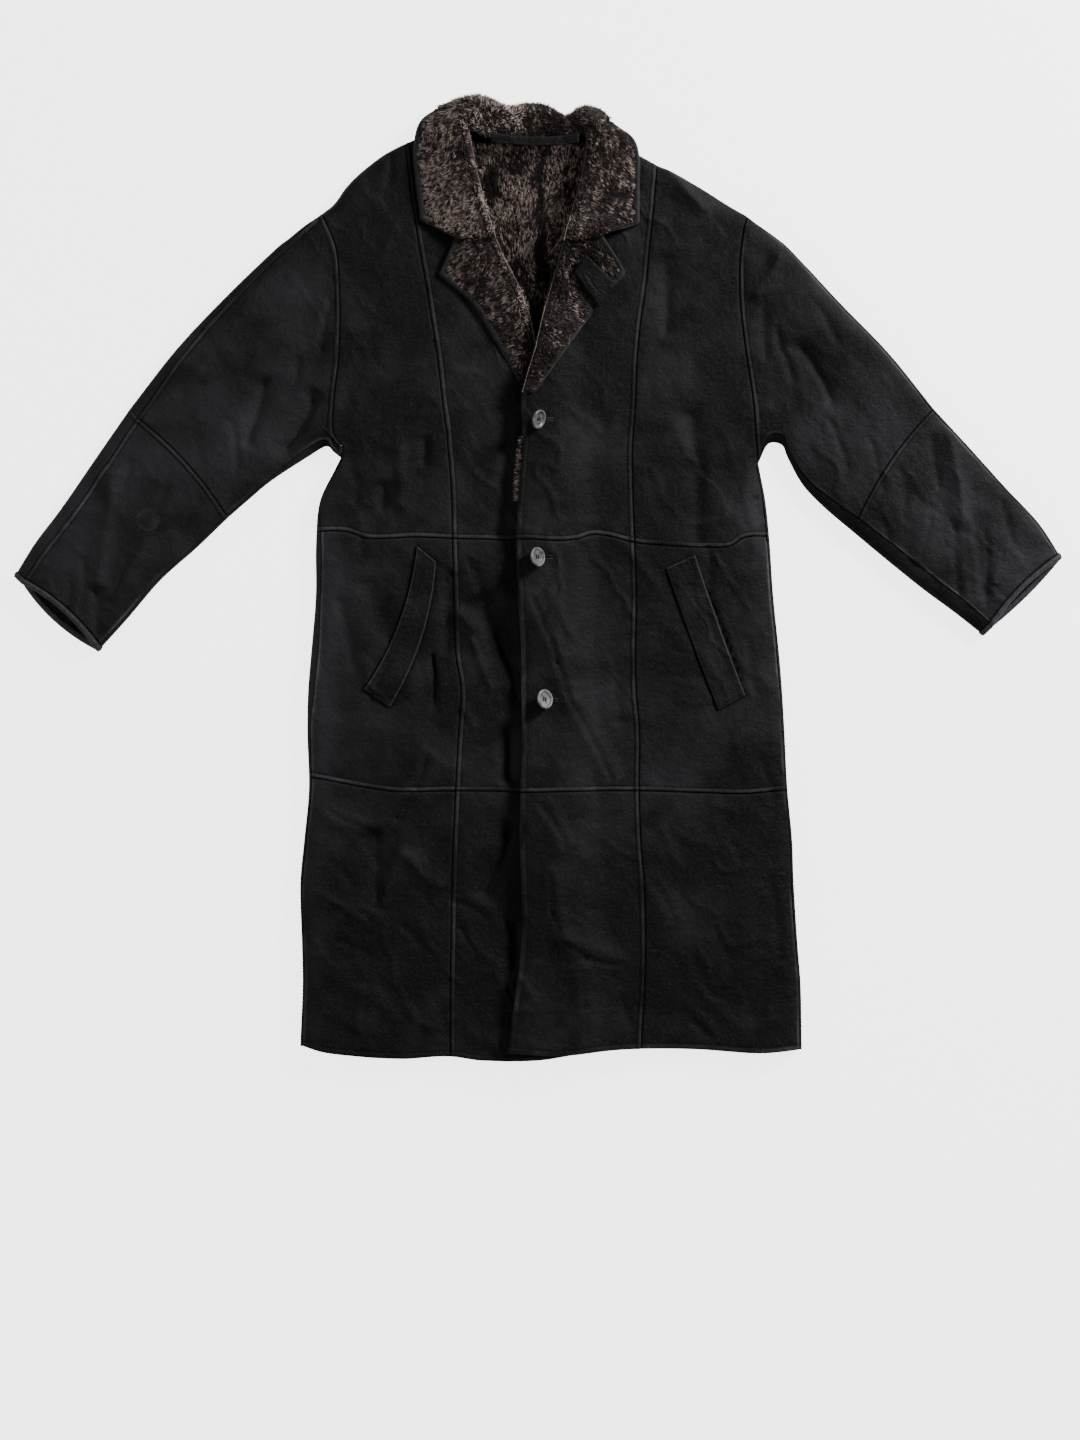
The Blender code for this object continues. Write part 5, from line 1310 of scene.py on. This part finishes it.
def makeWelt(side):
    name = f"pocket_welt_{side}"
    xy, across, down, wide, tall = patchGrid(name, 2.2)
    ground = surface(xy)
    inner, outer = across, wide - across
    mouth = outer if side == "left" else inner  # the side that the hand goes in
    rim = np.minimum(np.minimum(inner, outer), np.minimum(down, tall - down))
    top = ground + patches[name]["thick"] + rimmed(rim)
    sewn, foot = weltCut["mouthStitch"], weltCut["footStitch"]
    top += weltCut["lip"] * ridge(mouth, 0, 4) - weltCut["groove"] * ridge(mouth, sewn, 1.1)
    top -= 0.9 * weltCut["groove"] * ridge(tall - down, foot, 1.1)
    worn = np.maximum(0.6 * ridge(mouth, 1, 1.2), 0.5 * ridge(rim, 1, 0.9))
    # painted shade in the mouth's stitch groove and at the welt's very edge all round; a fainter dark line
    # runs 3.4 mm inside the edge
    dark = np.maximum(0.9 * ridge(mouth, sewn, 0.9), 0.5 * ridge(rim, 3.4, 1))
    dark = np.maximum(dark, np.interp(rim, [0, 0.3, 0.6], [1, 0.4, 0]))
    marks = {"worn": worn * (1 - dark), "dark": dark, "rubbedNapAndPaintedLight": greyed(xy)}
    obj = wall(name + "_skin", xy, top, ground + 0.05, leather, marks, flatUnder=False)
    finishPiece(obj, "sheepskin", [name], None, [f"front_{side}_middle_side_skin"])
    xyz = np.dstack([xy, top + panelCut["stitchLift"]])
    layThread(xyz[2:-2, int(np.argmin(np.abs(mouth[0] - sewn)))])
    layThread(xyz[int(np.argmin(np.abs(tall - down[:, 0] - foot))), 2:-2])


tabSlit = [(62.4, 391.5), (76.7, 370.0)]  # the ends of the tab's buttonhole


def makeTab():
    xy, across, down, wide, tall = patchGrid("lapel_tab", 1.8)
    under = soften(castOn(xy, ["lapel_tab"], upwards=True), 6) + 0.3
    rim = np.minimum(np.minimum(across, wide - across), np.minimum(down, tall - down))
    top = under + patches["lapel_tab"]["thick"] + rimmed(rim) * 0.6
    start, end = np.array(tabSlit)
    run = (end - start) / np.hypot(*(end - start))
    along = np.clip((xy - start) @ run, 0, np.hypot(*(end - start)))
    away = np.hypot(*np.moveaxis(xy - start - along[..., None] * run, -1, 0))
    slit, lips = ridge(away, 0, 0.9), ridge(away, 2.3, 0.9)
    top += 0.5 * lips - 1.1 * slit
    # painted shade in the buttonhole slit; a dark line runs 3.2 mm inside the edge, and the rest is the
    # tab's own blacker leather
    dark = np.maximum(np.maximum(slit, 0.5), 0.9 * ridge(rim, 3.2, 0.6))  # blacker than the bindings
    worn = np.maximum(0.2 * ridge(rim, 0.9, 0.9), 0.6 * lips) * (1 - dark)
    obj = wall("lapel_tab_leather", xy, top, under, binding, {"worn": worn, "dark": dark}, flatUnder=False)
    finishPiece(obj, "binding", ["lapel_tab"], None, ["lapel_left_ground"])


def makeLoop():
    xy, across, down, wide, tall = patchGrid("hanger_loop", 2.0)
    under = soften(castOn(xy, ["hanger_loop"], upwards=True), 4) + 0.1
    rim = np.minimum(np.minimum(across, wide - across), np.minimum(down, tall - down))
    top = under + patches["hanger_loop"]["thick"] + rimmed(rim) * 0.7 + 1.2 * np.sin(pi * across / wide)
    marks = {"worn": 0.12 * ridge(rim, 1.4, 1.2), "dark": 0 * rim}
    obj = wall("hanger_loop_strap", xy, top, under, binding, marks, flatUnder=False)
    finishPiece(obj, "binding", ["hanger_loop"], None, ["back_right_upper_skin", "back_left_upper_skin"])


makeWelt("right")
makeWelt("left")
makeTab()
makeLoop()
report("welts, tab and loop are on")


# Buttons, each one dished, with four holes and its thread.

buttonCut = {"across": 25.4, "thick": 4.2, "shankHigh": 6.5, "sides": 56, "holeAcross": 2.7,
             "holesApart": (3.5, 3.8), "threadAcross": 1.9}
# x, y, tilt, the way it leans, turn of the holes, and how much painted shade darkens its face
buttonSpots = {1: (-0.6, 204.1, 54, -19, 0.3, 0.5), 2: (-2.0, 26.0, 46, 8, 0.0, 0.34),
               3: (7.5, -157.3, 42, 10, -0.2, 0.0)}
# Shares of the radius and of the thickness, from the middle of the face to that of the back.
buttonProfile = [
    (0, 0.42), (0.2, 0.42), (0.4, 0.42), (0.56, 0.44), (0.64, 0.5), (0.7, 0.66), (0.75, 0.84), (0.8, 0.95),
    (0.86, 1), (0.92, 0.98), (0.97, 0.88), (1, 0.7), (1, 0.5), (0.98, 0.34), (0.92, 0.16), (0.84, 0.04),
    (0.76, 0), (0.5, 0), (0.25, 0), (0, 0),
]


def lathe(profile, sides):
    points, rings, faces = [], [], []
    for radius, z in profile:
        count = 1 if radius == 0 else sides
        rings.append(range(len(points), len(points) + count))
        points += [(radius * cos(a), radius * sin(a), z) for a in np.arange(count) * 2 * pi / count]
    for one, other in zip(rings, rings[1:]):
        for k in range(sides):
            after = k + 1
            ring = (other[k % len(other)], other[after % len(other)],
                    one[after % len(one)], one[k % len(one)])
            faces.append(tuple(dict.fromkeys(ring)))
    return np.array(points, float), faces


def tube(path, radii, sides):  # round, along a path that is nowhere upright
    way = np.gradient(path, axis=0)
    aside = np.cross(way / np.linalg.norm(way, axis=1)[:, None], (0, 0, 1))
    aside /= np.linalg.norm(aside, axis=1)[:, None]
    up = np.cross(aside, way / np.linalg.norm(way, axis=1)[:, None])
    turns = np.arange(sides) * 2 * pi / sides
    rings = np.stack([path + radii[:, None] * (aside * cos(a) + up * sin(a)) for a in turns], 1)
    faces = []
    for i in range(len(path) - 1):
        for k in range(sides):
            a, b = i * sides + k, i * sides + (k + 1) % sides
            faces.append((a, b, b + sides, a + sides))
    last = (len(path) - 1) * sides
    return rings.reshape(-1, 3), faces + [tuple(range(sides))[::-1], tuple(range(last, last + sides))]


def rod(start, end, radius, sides=10, steps=6, arch=0.0):
    # a thread between two points, arched up in the middle and rounded at its ends
    t = np.linspace(0, 1, steps + 1)[:, None]
    path = np.array(start) + (np.array(end) - start) * t + (0, 0, arch) * (4 * t * (1 - t))
    return tube(path, radius * np.where((t == 0) | (t == 1), 0.55, 1)[:, 0], sides)


def joined(parts):
    points, faces = [], []
    for some, theirs in parts:
        faces += [tuple(k + len(points) for k in face) for face in theirs]
        points += list(some)
    return np.array(points), faces


def settle(name, holder):  # turns an object with its modifiers into a plain mesh
    graph = bpy.context.evaluated_depsgraph_get()
    mesh = bpy.data.meshes.new_from_object(holder.evaluated_get(graph), preserve_all_data_layers=True,
                                           depsgraph=graph)
    mesh.name = name
    bpy.data.objects.remove(holder)
    return link(name, mesh)


def recalculate(mesh):
    work = bmesh.new()
    work.from_mesh(mesh)
    bmesh.ops.remove_doubles(work, verts=work.verts, dist=1e-6)
    bmesh.ops.recalc_face_normals(work, faces=work.faces)
    work.to_mesh(mesh)
    work.free()


def makeButton(number):
    x, y, tilt, heading, turn, paintedFaceShade = buttonSpots[number]
    radius, thick = buttonCut["across"] / 2, buttonCut["thick"]
    low = -radius * sin(radians(tilt)) + 0.38 * thick * cos(radians(tilt))
    low = min(low, -0.8 * radius * sin(radians(tilt)))
    rise = max(buttonCut["shankHigh"], 0.5 - low + 1.5)
    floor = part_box(f"button_{number}")[0][2] / mm
    lean = Matrix.Rotation(radians(heading), 3, "Z") @ Matrix.Rotation(radians(tilt), 3, "Y")
    lean = lean @ Matrix.Rotation(turn - radians(heading), 3, "Z")

    def placed(points):
        return np.array([tuple(lean @ Vector(p)) for p in points]) + (x, y, floor + rise)

    points, faces = lathe([(r * radius, z * thick) for r, z in buttonProfile], buttonCut["sides"])
    points[:, 2] += 0.12 * np.sin(points[:, 0] * 0.7) * (points[:, 2] > 0.2)  # no two are quite alike
    # the painted shade is lighter on the rim
    dark = np.where(np.hypot(*points[:, :2].T) > 0.74 * radius, 0.6 * paintedFaceShade, paintedFaceShade)  # the rim stays brighter
    disc = meshOf("disc", placed(points), faces, horn, {"dark": dark})
    holes, hole, (apartX, apartY) = [], buttonCut["holeAcross"] / 2, np.array(buttonCut["holesApart"]) / 2
    for a, b in ((1, 1), (1, -1), (-1, -1), (-1, 1)):
        some, theirs = lathe([(0, 6), (hole, 6), (hole, -3), (0, -3)], 12)
        holes.append((some + (a * apartX, b * apartY, 0), theirs))
    points, faces = joined(holes)
    cutter = meshOf("holes", placed(points), faces, horn)
    recalculate(cutter.data)
    recalculate(disc.data)
    bore = disc.modifiers.new("bore", "BOOLEAN")
    bore.operation, bore.solver, bore.object = "DIFFERENCE", "EXACT", cutter
    obj = settle(f"button_{number}_horn", disc)
    obj.data.shade_smooth()
    obj.data.set_sharp_from_angle(angle=radians(48))
    bpy.data.objects.remove(cutter)
    finishPiece(obj, "button", [f"button_{number}"])
    runs = []
    level = 0.42 * thick + 0.25
    for side in (-1, 1):
        ends = [(side * apartX, away, level - 0.5) for away in (-apartY - 0.2, apartY + 0.2)]
        runs.append(rod(*ends, buttonCut["threadAcross"] / 2, arch=0.9))
    points, faces = joined(runs)
    shank, shankFaces = lathe([(0, 0), (2.3, 0), (1.9, -0.25 * rise), (1.6, -0.5 * rise),
                               (1.7, -0.75 * rise), (2.4, -rise + 0.3), (0, -rise + 0.3)], 14)
    points, faces = joined([(placed(points), faces), (shank + (x, y, floor + rise), shankFaces)])
    thread = meshOf(f"button_{number}_thread", points, faces, blackThread)
    recalculate(thread.data)
    finishPiece(thread, "button")


for number in buttonSpots:
    makeButton(number)
report("buttons are sewn on")


# Topstitching: every run of thread becomes a row of stitches.

stitchCut = {"length": 4.2, "thread": 0.75}


def newTree(name, sockets):
    tree = bpy.data.node_groups.new(name, "GeometryNodeTree")
    tree.interface.new_socket("Geometry", in_out="INPUT", socket_type="NodeSocketGeometry")
    for label, kind in sockets:
        tree.interface.new_socket(label, in_out="INPUT", socket_type="NodeSocket" + kind)
    tree.interface.new_socket("Geometry", in_out="OUTPUT", socket_type="NodeSocketGeometry")
    return tree, addNode(tree, "NodeGroupInput").outputs


def closeTree(tree, geometry, material):
    real = addNode(tree, "GeometryNodeRealizeInstances", None, None, {"Geometry": geometry})
    done = addNode(tree, "GeometryNodeSetMaterial", None, None,
                   {"Geometry": real.outputs["Geometry"], "Material": material})
    addNode(tree, "NodeGroupOutput", None, None, {"Geometry": done.outputs["Geometry"]})


def applyTree(name, holder, tree, values):
    modifier = holder.modifiers.new(name, "NODES")
    modifier.node_group = tree
    for item in tree.interface.items_tree:
        if item.in_out == "INPUT" and item.name in values:
            modifier[item.identifier] = values[item.name]
    return settle(name, holder)


def stitchTree():
    tree, given = newTree("stitchesAlongSeams",
                          [("Length", "Float"), ("Thread", "Float"), ("Material", "Material")])
    curve = addNode(tree, "GeometryNodeMeshToCurve", None, None, {"Mesh": given["Geometry"]})
    spots = addNode(tree, "GeometryNodeCurveToPoints", {"mode": "LENGTH"}, None,
                    {"Curve": curve.outputs[0], "Length": given["Length"]})
    facing = addNode(tree, "FunctionNodeAlignRotationToVector", {"axis": "X"}, None,
                     {"Vector": spots.outputs["Tangent"]})
    grain = addNode(tree, "GeometryNodeMeshIcoSphere", None, {"Radius": 1.0, "Subdivisions": 1})
    half = addNode(tree, "ShaderNodeMath", {"operation": "MULTIPLY"}, {1: 0.4}, {0: given["Length"]})
    thin = addNode(tree, "ShaderNodeMath", {"operation": "MULTIPLY"}, {1: 0.5}, {0: given["Thread"]})
    size = addNode(tree, "ShaderNodeCombineXYZ", None, None,
                   {"X": half.outputs[0], "Y": thin.outputs[0], "Z": thin.outputs[0]})
    row = addNode(tree, "GeometryNodeInstanceOnPoints", None, None,
                  {"Points": spots.outputs["Points"], "Instance": grain.outputs["Mesh"],
                   "Rotation": facing.outputs["Rotation"], "Scale": size.outputs["Vector"]})
    closeTree(tree, row.outputs["Instances"], given["Material"])
    return tree


def sewAll(name, runs, tree, values):
    points, edges = [], []
    for run in runs:
        edges += [(len(points) + k, len(points) + k + 1) for k in range(len(run) - 1)]
        points += (run * mm).tolist()
    mesh = bpy.data.meshes.new(name)
    mesh.from_pydata(points, edges, [])
    obj = applyTree(name, link(name + "Path", mesh), tree, values)
    finishPiece(obj, "binding")


def straight(side, tier, spots):  # a run of points on a front, at the height of its face
    xy, top = frontTops[side, tier, "centre"]
    flat, heights = xy.reshape(-1, 2), top.ravel()
    path = [np.array(a) + (np.array(b) - a) * t
            for a, b in zip(spots, spots[1:]) for t in np.linspace(0, 1, 14)]
    nearest = [heights[np.argmin(((flat - p) ** 2).sum(1))] for p in path]
    return np.array([(*p, z + 0.15) for p, z in zip(path, nearest)])


# The square sewn round each buttonhole, and the hole's own two rows of wrapped thread.
squares = {1: ("upper", (29, 222), (29, 182), (-10, 182)), 2: ("middle", (29, 46), (29, 7), (-10, 7)),
           3: ("middle", (35, -144), (35, -181), (-8, -181))}
buttonholes = {1: ("upper", (10, 204.6), (20, 204.4)), 2: ("middle", (9, 26.6), (19, 26.2)),
               3: ("middle", (16, -157.6), (26, -158.2))}
bars = []
for tier, *spots in squares.values():
    layThread(straight("left", tier, spots))
for tier, start, end in buttonholes.values():
    for aside in (-2.0, 2.0):
        run = straight("left", tier, [(start[0], start[1] + aside), (end[0], end[1] + aside)])
        bars.append(rod(run[0], run[-1], 0.7, arch=0.3))
points, faces = joined(bars)
finishPiece(meshOf("buttonhole_thread", points, faces, greyThread), "binding")
# black rods stand in for the shade inside each open buttonhole
slots = [straight("left", tier, ends) for tier, *ends in buttonholes.values()]
points, faces = joined([rod(run[0], run[-1], 1.3, arch=-0.6) for run in slots])
finishPiece(meshOf("buttonhole_slits", points, faces, blackThread), "binding")  # the dark of the open hole

sewAll("topstitching", threads, stitchTree(),
       {"Length": stitchCut["length"] * mm, "Thread": stitchCut["thread"] * mm, "Material": blackThread})
report(f"topstitching: {len(threads)} runs")


# Wool: curved, pointed locks that grow from the ground, combed and a little unruly.

furCut = {"perSquareMetre": 505000, "length": 7.4, "width": 1.05, "lean": 1.2, "unrest": 0.38,
          "curl": 2200.0, "wisp": 2.7}
# painted light: each piece's wool is brighter where it faces the key light and darker where it turns away
woolPaintedLight = {"collar_right": 1.3, "collar_left": 0.8, "lapel_right": 0.95, "lapel_left": 0.52, "lining": 1.2}
swirlLayers = [(0.45, 5, 61), (0.6, 24, 62)], [(0.3, 5, 63)]  # sideways, and along
# Paler and darker places in the wool: x, y, half widths, share.
furSpots = [
    (-59, 521, 9, 17, -0.65), (-30, 536, 15, 9, -0.4), (-48, 467, 14, 22, 0.45), (-22, 503, 12, 20, 0.25),
    (-12, 421, 5, 25, 0.7), (-28, 412, 6, 11, -0.7), (6, 460, 7, 32, -0.55), (2, 399, 7, 20, -0.6),
    (3, 520, 3.5, 60, -0.55), (35, 468, 8, 20, 0.2), (35, 406, 18, 16, 0.35), (-138, 514, 20, 50, 0.3),
    (-120, 471, 20, 18, 0.35), (-84, 399, 24, 20, -0.3), (-109, 399, 9, 24, 0.3), (-70, 560, 14, 12, 0.2),
    (95, 500, 16, 40, -0.2), (120, 540, 12, 24, 0.15), (-50, 345, 16, 24, -0.25), (60, 350, 16, 26, 0.2),
    (86, 461, 30, 11, -0.5), (-14, 596, 2.5, 22, -0.4),
]


def furTree():
    tree, given = newTree("woolLocks", [("Density", "Float"), ("Length", "Float"), ("Width", "Float"),
                          ("Lean", "Float"), ("Unrest", "Float"), ("Seed", "Int"), ("Material", "Material")])
    spots = addNode(tree, "GeometryNodeDistributePointsOnFaces", {"distribute_method": "RANDOM"}, None,
                    {"Mesh": given["Geometry"], "Density": given["Density"], "Seed": given["Seed"]})

    def named(name, kind="FLOAT"):
        settings = {"data_type": kind}
        return addNode(tree, "GeometryNodeInputNamedAttribute", settings, {"Name": name}).outputs[0]

    def chance(low, high, shift, kind="FLOAT"):
        keys = {"FLOAT": (2, 3, 1), "FLOAT_VECTOR": (0, 1, 0)}[kind]
        node = addNode(tree, "FunctionNodeRandomValue", {"data_type": kind}, {keys[0]: low, keys[1]: high})
        seed = addNode(tree, "ShaderNodeMath", {"operation": "ADD"}, {1: float(shift)}, {0: given["Seed"]})
        tree.links.new(seed.outputs[0], node.inputs["Seed"])
        return node.outputs[keys[2]]

    def vector(operation, first, second):
        node = addNode(tree, "ShaderNodeVectorMath", {"operation": operation}, None, {0: first})
        tree.links.new(second, node.inputs["Scale" if operation == "SCALE" else 1])
        return node.outputs[0]

    comb = named("comb", "FLOAT_VECTOR")
    stray = vector("SCALE", chance((-1, -1, -0.4), (1, 1, 0.7), 1, "FLOAT_VECTOR"), given["Unrest"])
    leaning = vector("ADD", vector("SCALE", comb, given["Lean"]), stray)
    way = vector("ADD", spots.outputs["Normal"], leaning)
    standing = addNode(tree, "FunctionNodeAlignRotationToVector", {"axis": "Z"}, None, {"Vector": way})
    facing = addNode(tree, "FunctionNodeAlignRotationToVector", {"axis": "X", "pivot_axis": "Z"}, None,
                     {"Rotation": standing.outputs["Rotation"], "Vector": leaning})
    cone = addNode(tree, "GeometryNodeMeshCone", None, {"Vertices": 3, "Side Segments": 2, "Radius Top": 0.0,
                   "Radius Bottom": 1.0, "Depth": 1.0})
    height = addNode(tree, "ShaderNodeSeparateXYZ", None, None,
                     {0: addNode(tree, "GeometryNodeInputPosition").outputs[0]}).outputs["Z"]
    # the lock is a unit high here, so its bend is given in widths
    squared = times(tree, times(tree, height, height), given["Width"])
    bend = addNode(tree, "ShaderNodeCombineXYZ", None, None, {"X": squared})
    curl = addNode(tree, "ShaderNodeVectorMath", {"operation": "SCALE"}, {"Scale": furCut["curl"]},
                   {0: bend.outputs[0]})
    bent = addNode(tree, "GeometryNodeSetPosition", None, None,
                   {"Geometry": cone.outputs["Mesh"], "Offset": curl.outputs[0]})
    marked = addNode(tree, "GeometryNodeStoreNamedAttribute", {"data_type": "FLOAT", "domain": "POINT"},
                     {"Name": "along"}, {"Geometry": bent.outputs[0], "Value": height})
    thick = times(tree, given["Width"], chance(0.55, 1.25, 2))
    tall = times(tree, times(tree, given["Length"], named("lengthShare")), chance(0.6, 1.2, 3))
    size = addNode(tree, "ShaderNodeCombineXYZ", None, None, {"X": thick, "Y": thick, "Z": tall})
    place = addNode(tree, "ShaderNodeVectorMath", {"operation": "MULTIPLY"}, {1: (1.0, 0.4, 1.0)},
                    {0: addNode(tree, "GeometryNodeInputPosition").outputs[0]})
    wisps = noise(tree, place.outputs[0], furCut["wisp"] * mm, 2, 0.6)  # pale and dark, longer than wide
    streak = scaled(tree, wisps, 0.39, 0.62, 0.02, 2.05)
    locks = addNode(tree, "GeometryNodeInstanceOnPoints", None, None,
                    {"Points": spots.outputs["Points"], "Instance": marked.outputs[0],
                     "Rotation": facing.outputs["Rotation"], "Scale": size.outputs[0]})
    shade = times(tree, named("tone"), chance(0.45, 1.3, 4))
    shaded = addNode(tree, "GeometryNodeStoreNamedAttribute", {"data_type": "FLOAT", "domain": "INSTANCE"},
                     {"Name": "shade"},
                     {"Geometry": locks.outputs["Instances"], "Value": times(tree, shade, streak)})
    closeTree(tree, shaded.outputs[0], given["Material"])
    return tree


def growWool(name, xyz, comb, tone, lengthShare, tree, seed, density=1.0):
    if not facesUp(xyz[..., :2]):
        xyz, comb, tone, lengthShare = (part[:, ::-1] for part in (xyz, comb, tone, lengthShare))
    rows, columns = xyz.shape[:2]
    mesh = bpy.data.meshes.new(name + "Bed")
    mesh.from_pydata((xyz.reshape(-1, 3) * mm).tolist(), [], gridFaces(rows, columns).tolist())
    for mark, values, kind in (("tone", tone, "FLOAT"), ("lengthShare", lengthShare, "FLOAT"),
                               ("comb", comb, "FLOAT_VECTOR")):
        values = np.ascontiguousarray(values, np.float32)
        made = mesh.attributes.new(mark, kind, "POINT")
        made.data.foreach_set("vector" if kind == "FLOAT_VECTOR" else "value", values.ravel())
    obj = applyTree(name, link(name + "Bed", mesh), tree, {
        "Density": furCut["perSquareMetre"] * density, "Length": furCut["length"] * mm,
        "Width": furCut["width"] * mm, "Lean": furCut["lean"], "Unrest": furCut["unrest"], "Seed": seed,
        "Material": fur})
    obj.data.shade_smooth()
    finishPiece(obj, "wool")
    return obj


def swirl(xy):  # the locks of a clump lean together
    return np.stack([layered(xy, layers) for layers in swirlLayers], -1)


def clumps(xy, seed, gain):  # pale tips and dark partings
    streaks = (xy + 2.5 * np.stack([mottle(xy, 9, seed + 4), 0 * xy[..., 0]], -1)) * (1, 0.42)
    tone = 0.62 + 0.25 * mottle(xy, 24, seed) + 0.34 * mottle(streaks, 8, seed + 1)
    return gain * (tone + 0.36 * mottle(streaks, 3.6, seed + 2) + spotted(xy, furSpots))


def clearOf(xy, name):  # short wool under a patch that lies on it, and where locks would lean over it
    a, b, c, d = (np.array(corner, float) for corner in patches[name]["corners"])
    middle, run = (a + b + c + d) / 4 + (-1.5, 3), (c + d - a - b) / 2
    length, width = np.hypot(*run), np.hypot(*(b - a))
    u = ((xy - middle) @ run) / length / (0.5 * length)
    v = ((xy - middle) @ np.array([-run[1], run[0]])) / length / (0.5 * width)
    return 1 - 0.85 * np.exp(-((u / 1.14) ** 8) - ((v / 1.22) ** 8))


# The hide's own cut edge shows as a thin pale line where collar and lapels turn inwards.
hideEdge = {"across": 1.05, "lift": 1.7, "column": -2, "collarStop": 6.9}


def makeHideEdge(name, xyz, stop):
    path = xyz[:stop, hideEdge["column"]] + (0, 0, hideEdge["lift"])
    path[:, :2] += 0.5 * mottle(path[:, :2], 9, 81)[:, None]
    radii = hideEdge["across"] / 2 * (0.8 + 0.3 * mottle(path[:, :2], 13, 82))
    obj = meshOf(name + "_hide_edge", *tube(path, radii, 6), hideLine)
    recalculate(obj.data)
    finishPiece(obj, "wool")


locks = furTree()
for seed, (name, xyz, out, u) in enumerate(furBeds):
    xy = xyz[..., :2]
    comb = np.zeros(xyz.shape)
    comb[..., :2] = out[:, None] * 0.75
    comb[..., 1] -= 0.45
    comb[:, u > 1.02, :2] *= -0.4  # past the crest it falls inwards
    comb[..., :2] += swirl(xy)
    tone = clumps(xy, 41, woolPaintedLight[name]) * np.interp(u, [0, 1.1, 1.4, 1.8, 2], [1, 1, 0.8, 0.8, 0.5])[None]
    share = np.interp(u, [0, 0.1, 0.8, 1.5, 1.75, 2], [0.65, 1, 0.9, 0.6, 0.3, 0.4])
    share = np.broadcast_to(share[None], tone.shape)
    if name == "lapel_left":
        share = share * clearOf(xy, "lapel_tab")
    growWool(name + "_wool", xyz, comb, np.clip(tone, 0, 1.5), share, locks, 11 + seed)
    table = (collarRows if name.startswith("collar") else lapelRows)[name.split("_")[1]]
    stop = hideEdge["collarStop"] / (len(table) - 1) if name.startswith("collar") else 1
    makeHideEdge(name, xyz, int(len(xyz) * stop))
report("collar and lapels have grown their wool")

lining = {"foot": 292.0, "head": 570.0, "ground": 7.5, "rows": 110, "columns": 56}


def growLining():
    y = np.linspace(lining["foot"], lining["head"], lining["rows"])[:, None]
    share = np.linspace(0, 1, lining["columns"])[None]
    left, right = bodyLine("underEdge", y) - 7, bodyLine("overEdge", y) + 7
    x = left * (1 - share) + right * share
    xy = np.dstack([x, np.broadcast_to(y, x.shape)])
    xyz = np.dstack([xy, np.full(x.shape, lining["ground"])])
    comb = np.zeros(xyz.shape)
    comb[..., 0] = 0.3 * mottle(xy, 30, 51)
    comb[..., 1] = -1 + 0.4 * mottle(xy, 24, 52)
    comb[..., :2] += swirl(xy)
    tone = clumps(xy, 53, woolPaintedLight["lining"])
    # painted shade, deepest at the bottom of the V between the lapels
    tone *= np.interp(xy[..., 1], [300, 360, 420], [0.25, 0.6, 1])
    growWool("lining_wool", xyz, comb, np.clip(tone, 0.05, 1.5), np.full(x.shape, 0.95), locks, 31)


tuft = {"foot": 100.0, "head": 184.0, "reach": 4.5}  # wool that peeps out under the over front


def growTuft():
    y = np.linspace(tuft["foot"], tuft["head"], 24)[:, None]
    share = np.linspace(0, 1, 4)[None]
    edge = bodyLine("overEdge", y)
    x = edge - tuft["reach"] * np.sin(pi * np.linspace(0.1, 0.9, 24))[:, None] * (1 - share) + 2 * share
    xy = np.dstack([x, np.broadcast_to(y, x.shape)])
    under = castOn(xy, [f"front_right_{tier}_centre" for tier in ("middle", "upper")])
    comb = np.zeros((*x.shape, 3))
    comb[..., 0] = -1.2
    comb[..., :2] += 0.6 * swirl(xy)
    raised = under + 1.5 + 5.5 * share  # it stands up against the front that it comes out from under
    growWool("edge_tuft_wool", np.dstack([xy, raised]), comb, clumps(xy, 57, 1.1).clip(0.35, 1.1),
             np.full(x.shape, 0.62), locks, 37, 2.0)


growLining()
growTuft()
report("the lining has grown its wool")


# Every piece moves with the coat's one body, and the frame's nodes that it stands for are hidden.

for obj, slot, nodes, grid, restsOn in pieces:
    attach(obj, body)
    if nodes:
        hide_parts(*nodes)
for obj, slot, nodes, grid, restsOn in pieces:
    if slot == "button" or not nodes:
        continue
    if grid is not None:
        width, length, area = clothSize(grid)
        round(min(area, 0.999 * width * length), 5)
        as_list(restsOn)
    else:
        width, length = stripSize(obj)
        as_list(restsOn)

triangles = sum(len(p.vertices) - 2 for obj, *_ in pieces for p in obj.data.polygons)
report(f"{len(pieces)} pieces, {triangles} triangles")
for obj, *_ in pieces:
    count = sum(len(p.vertices) - 2 for p in obj.data.polygons)
    if count > 100000:
        report(f"{obj.name} has {count} triangles")

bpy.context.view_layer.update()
report("done")
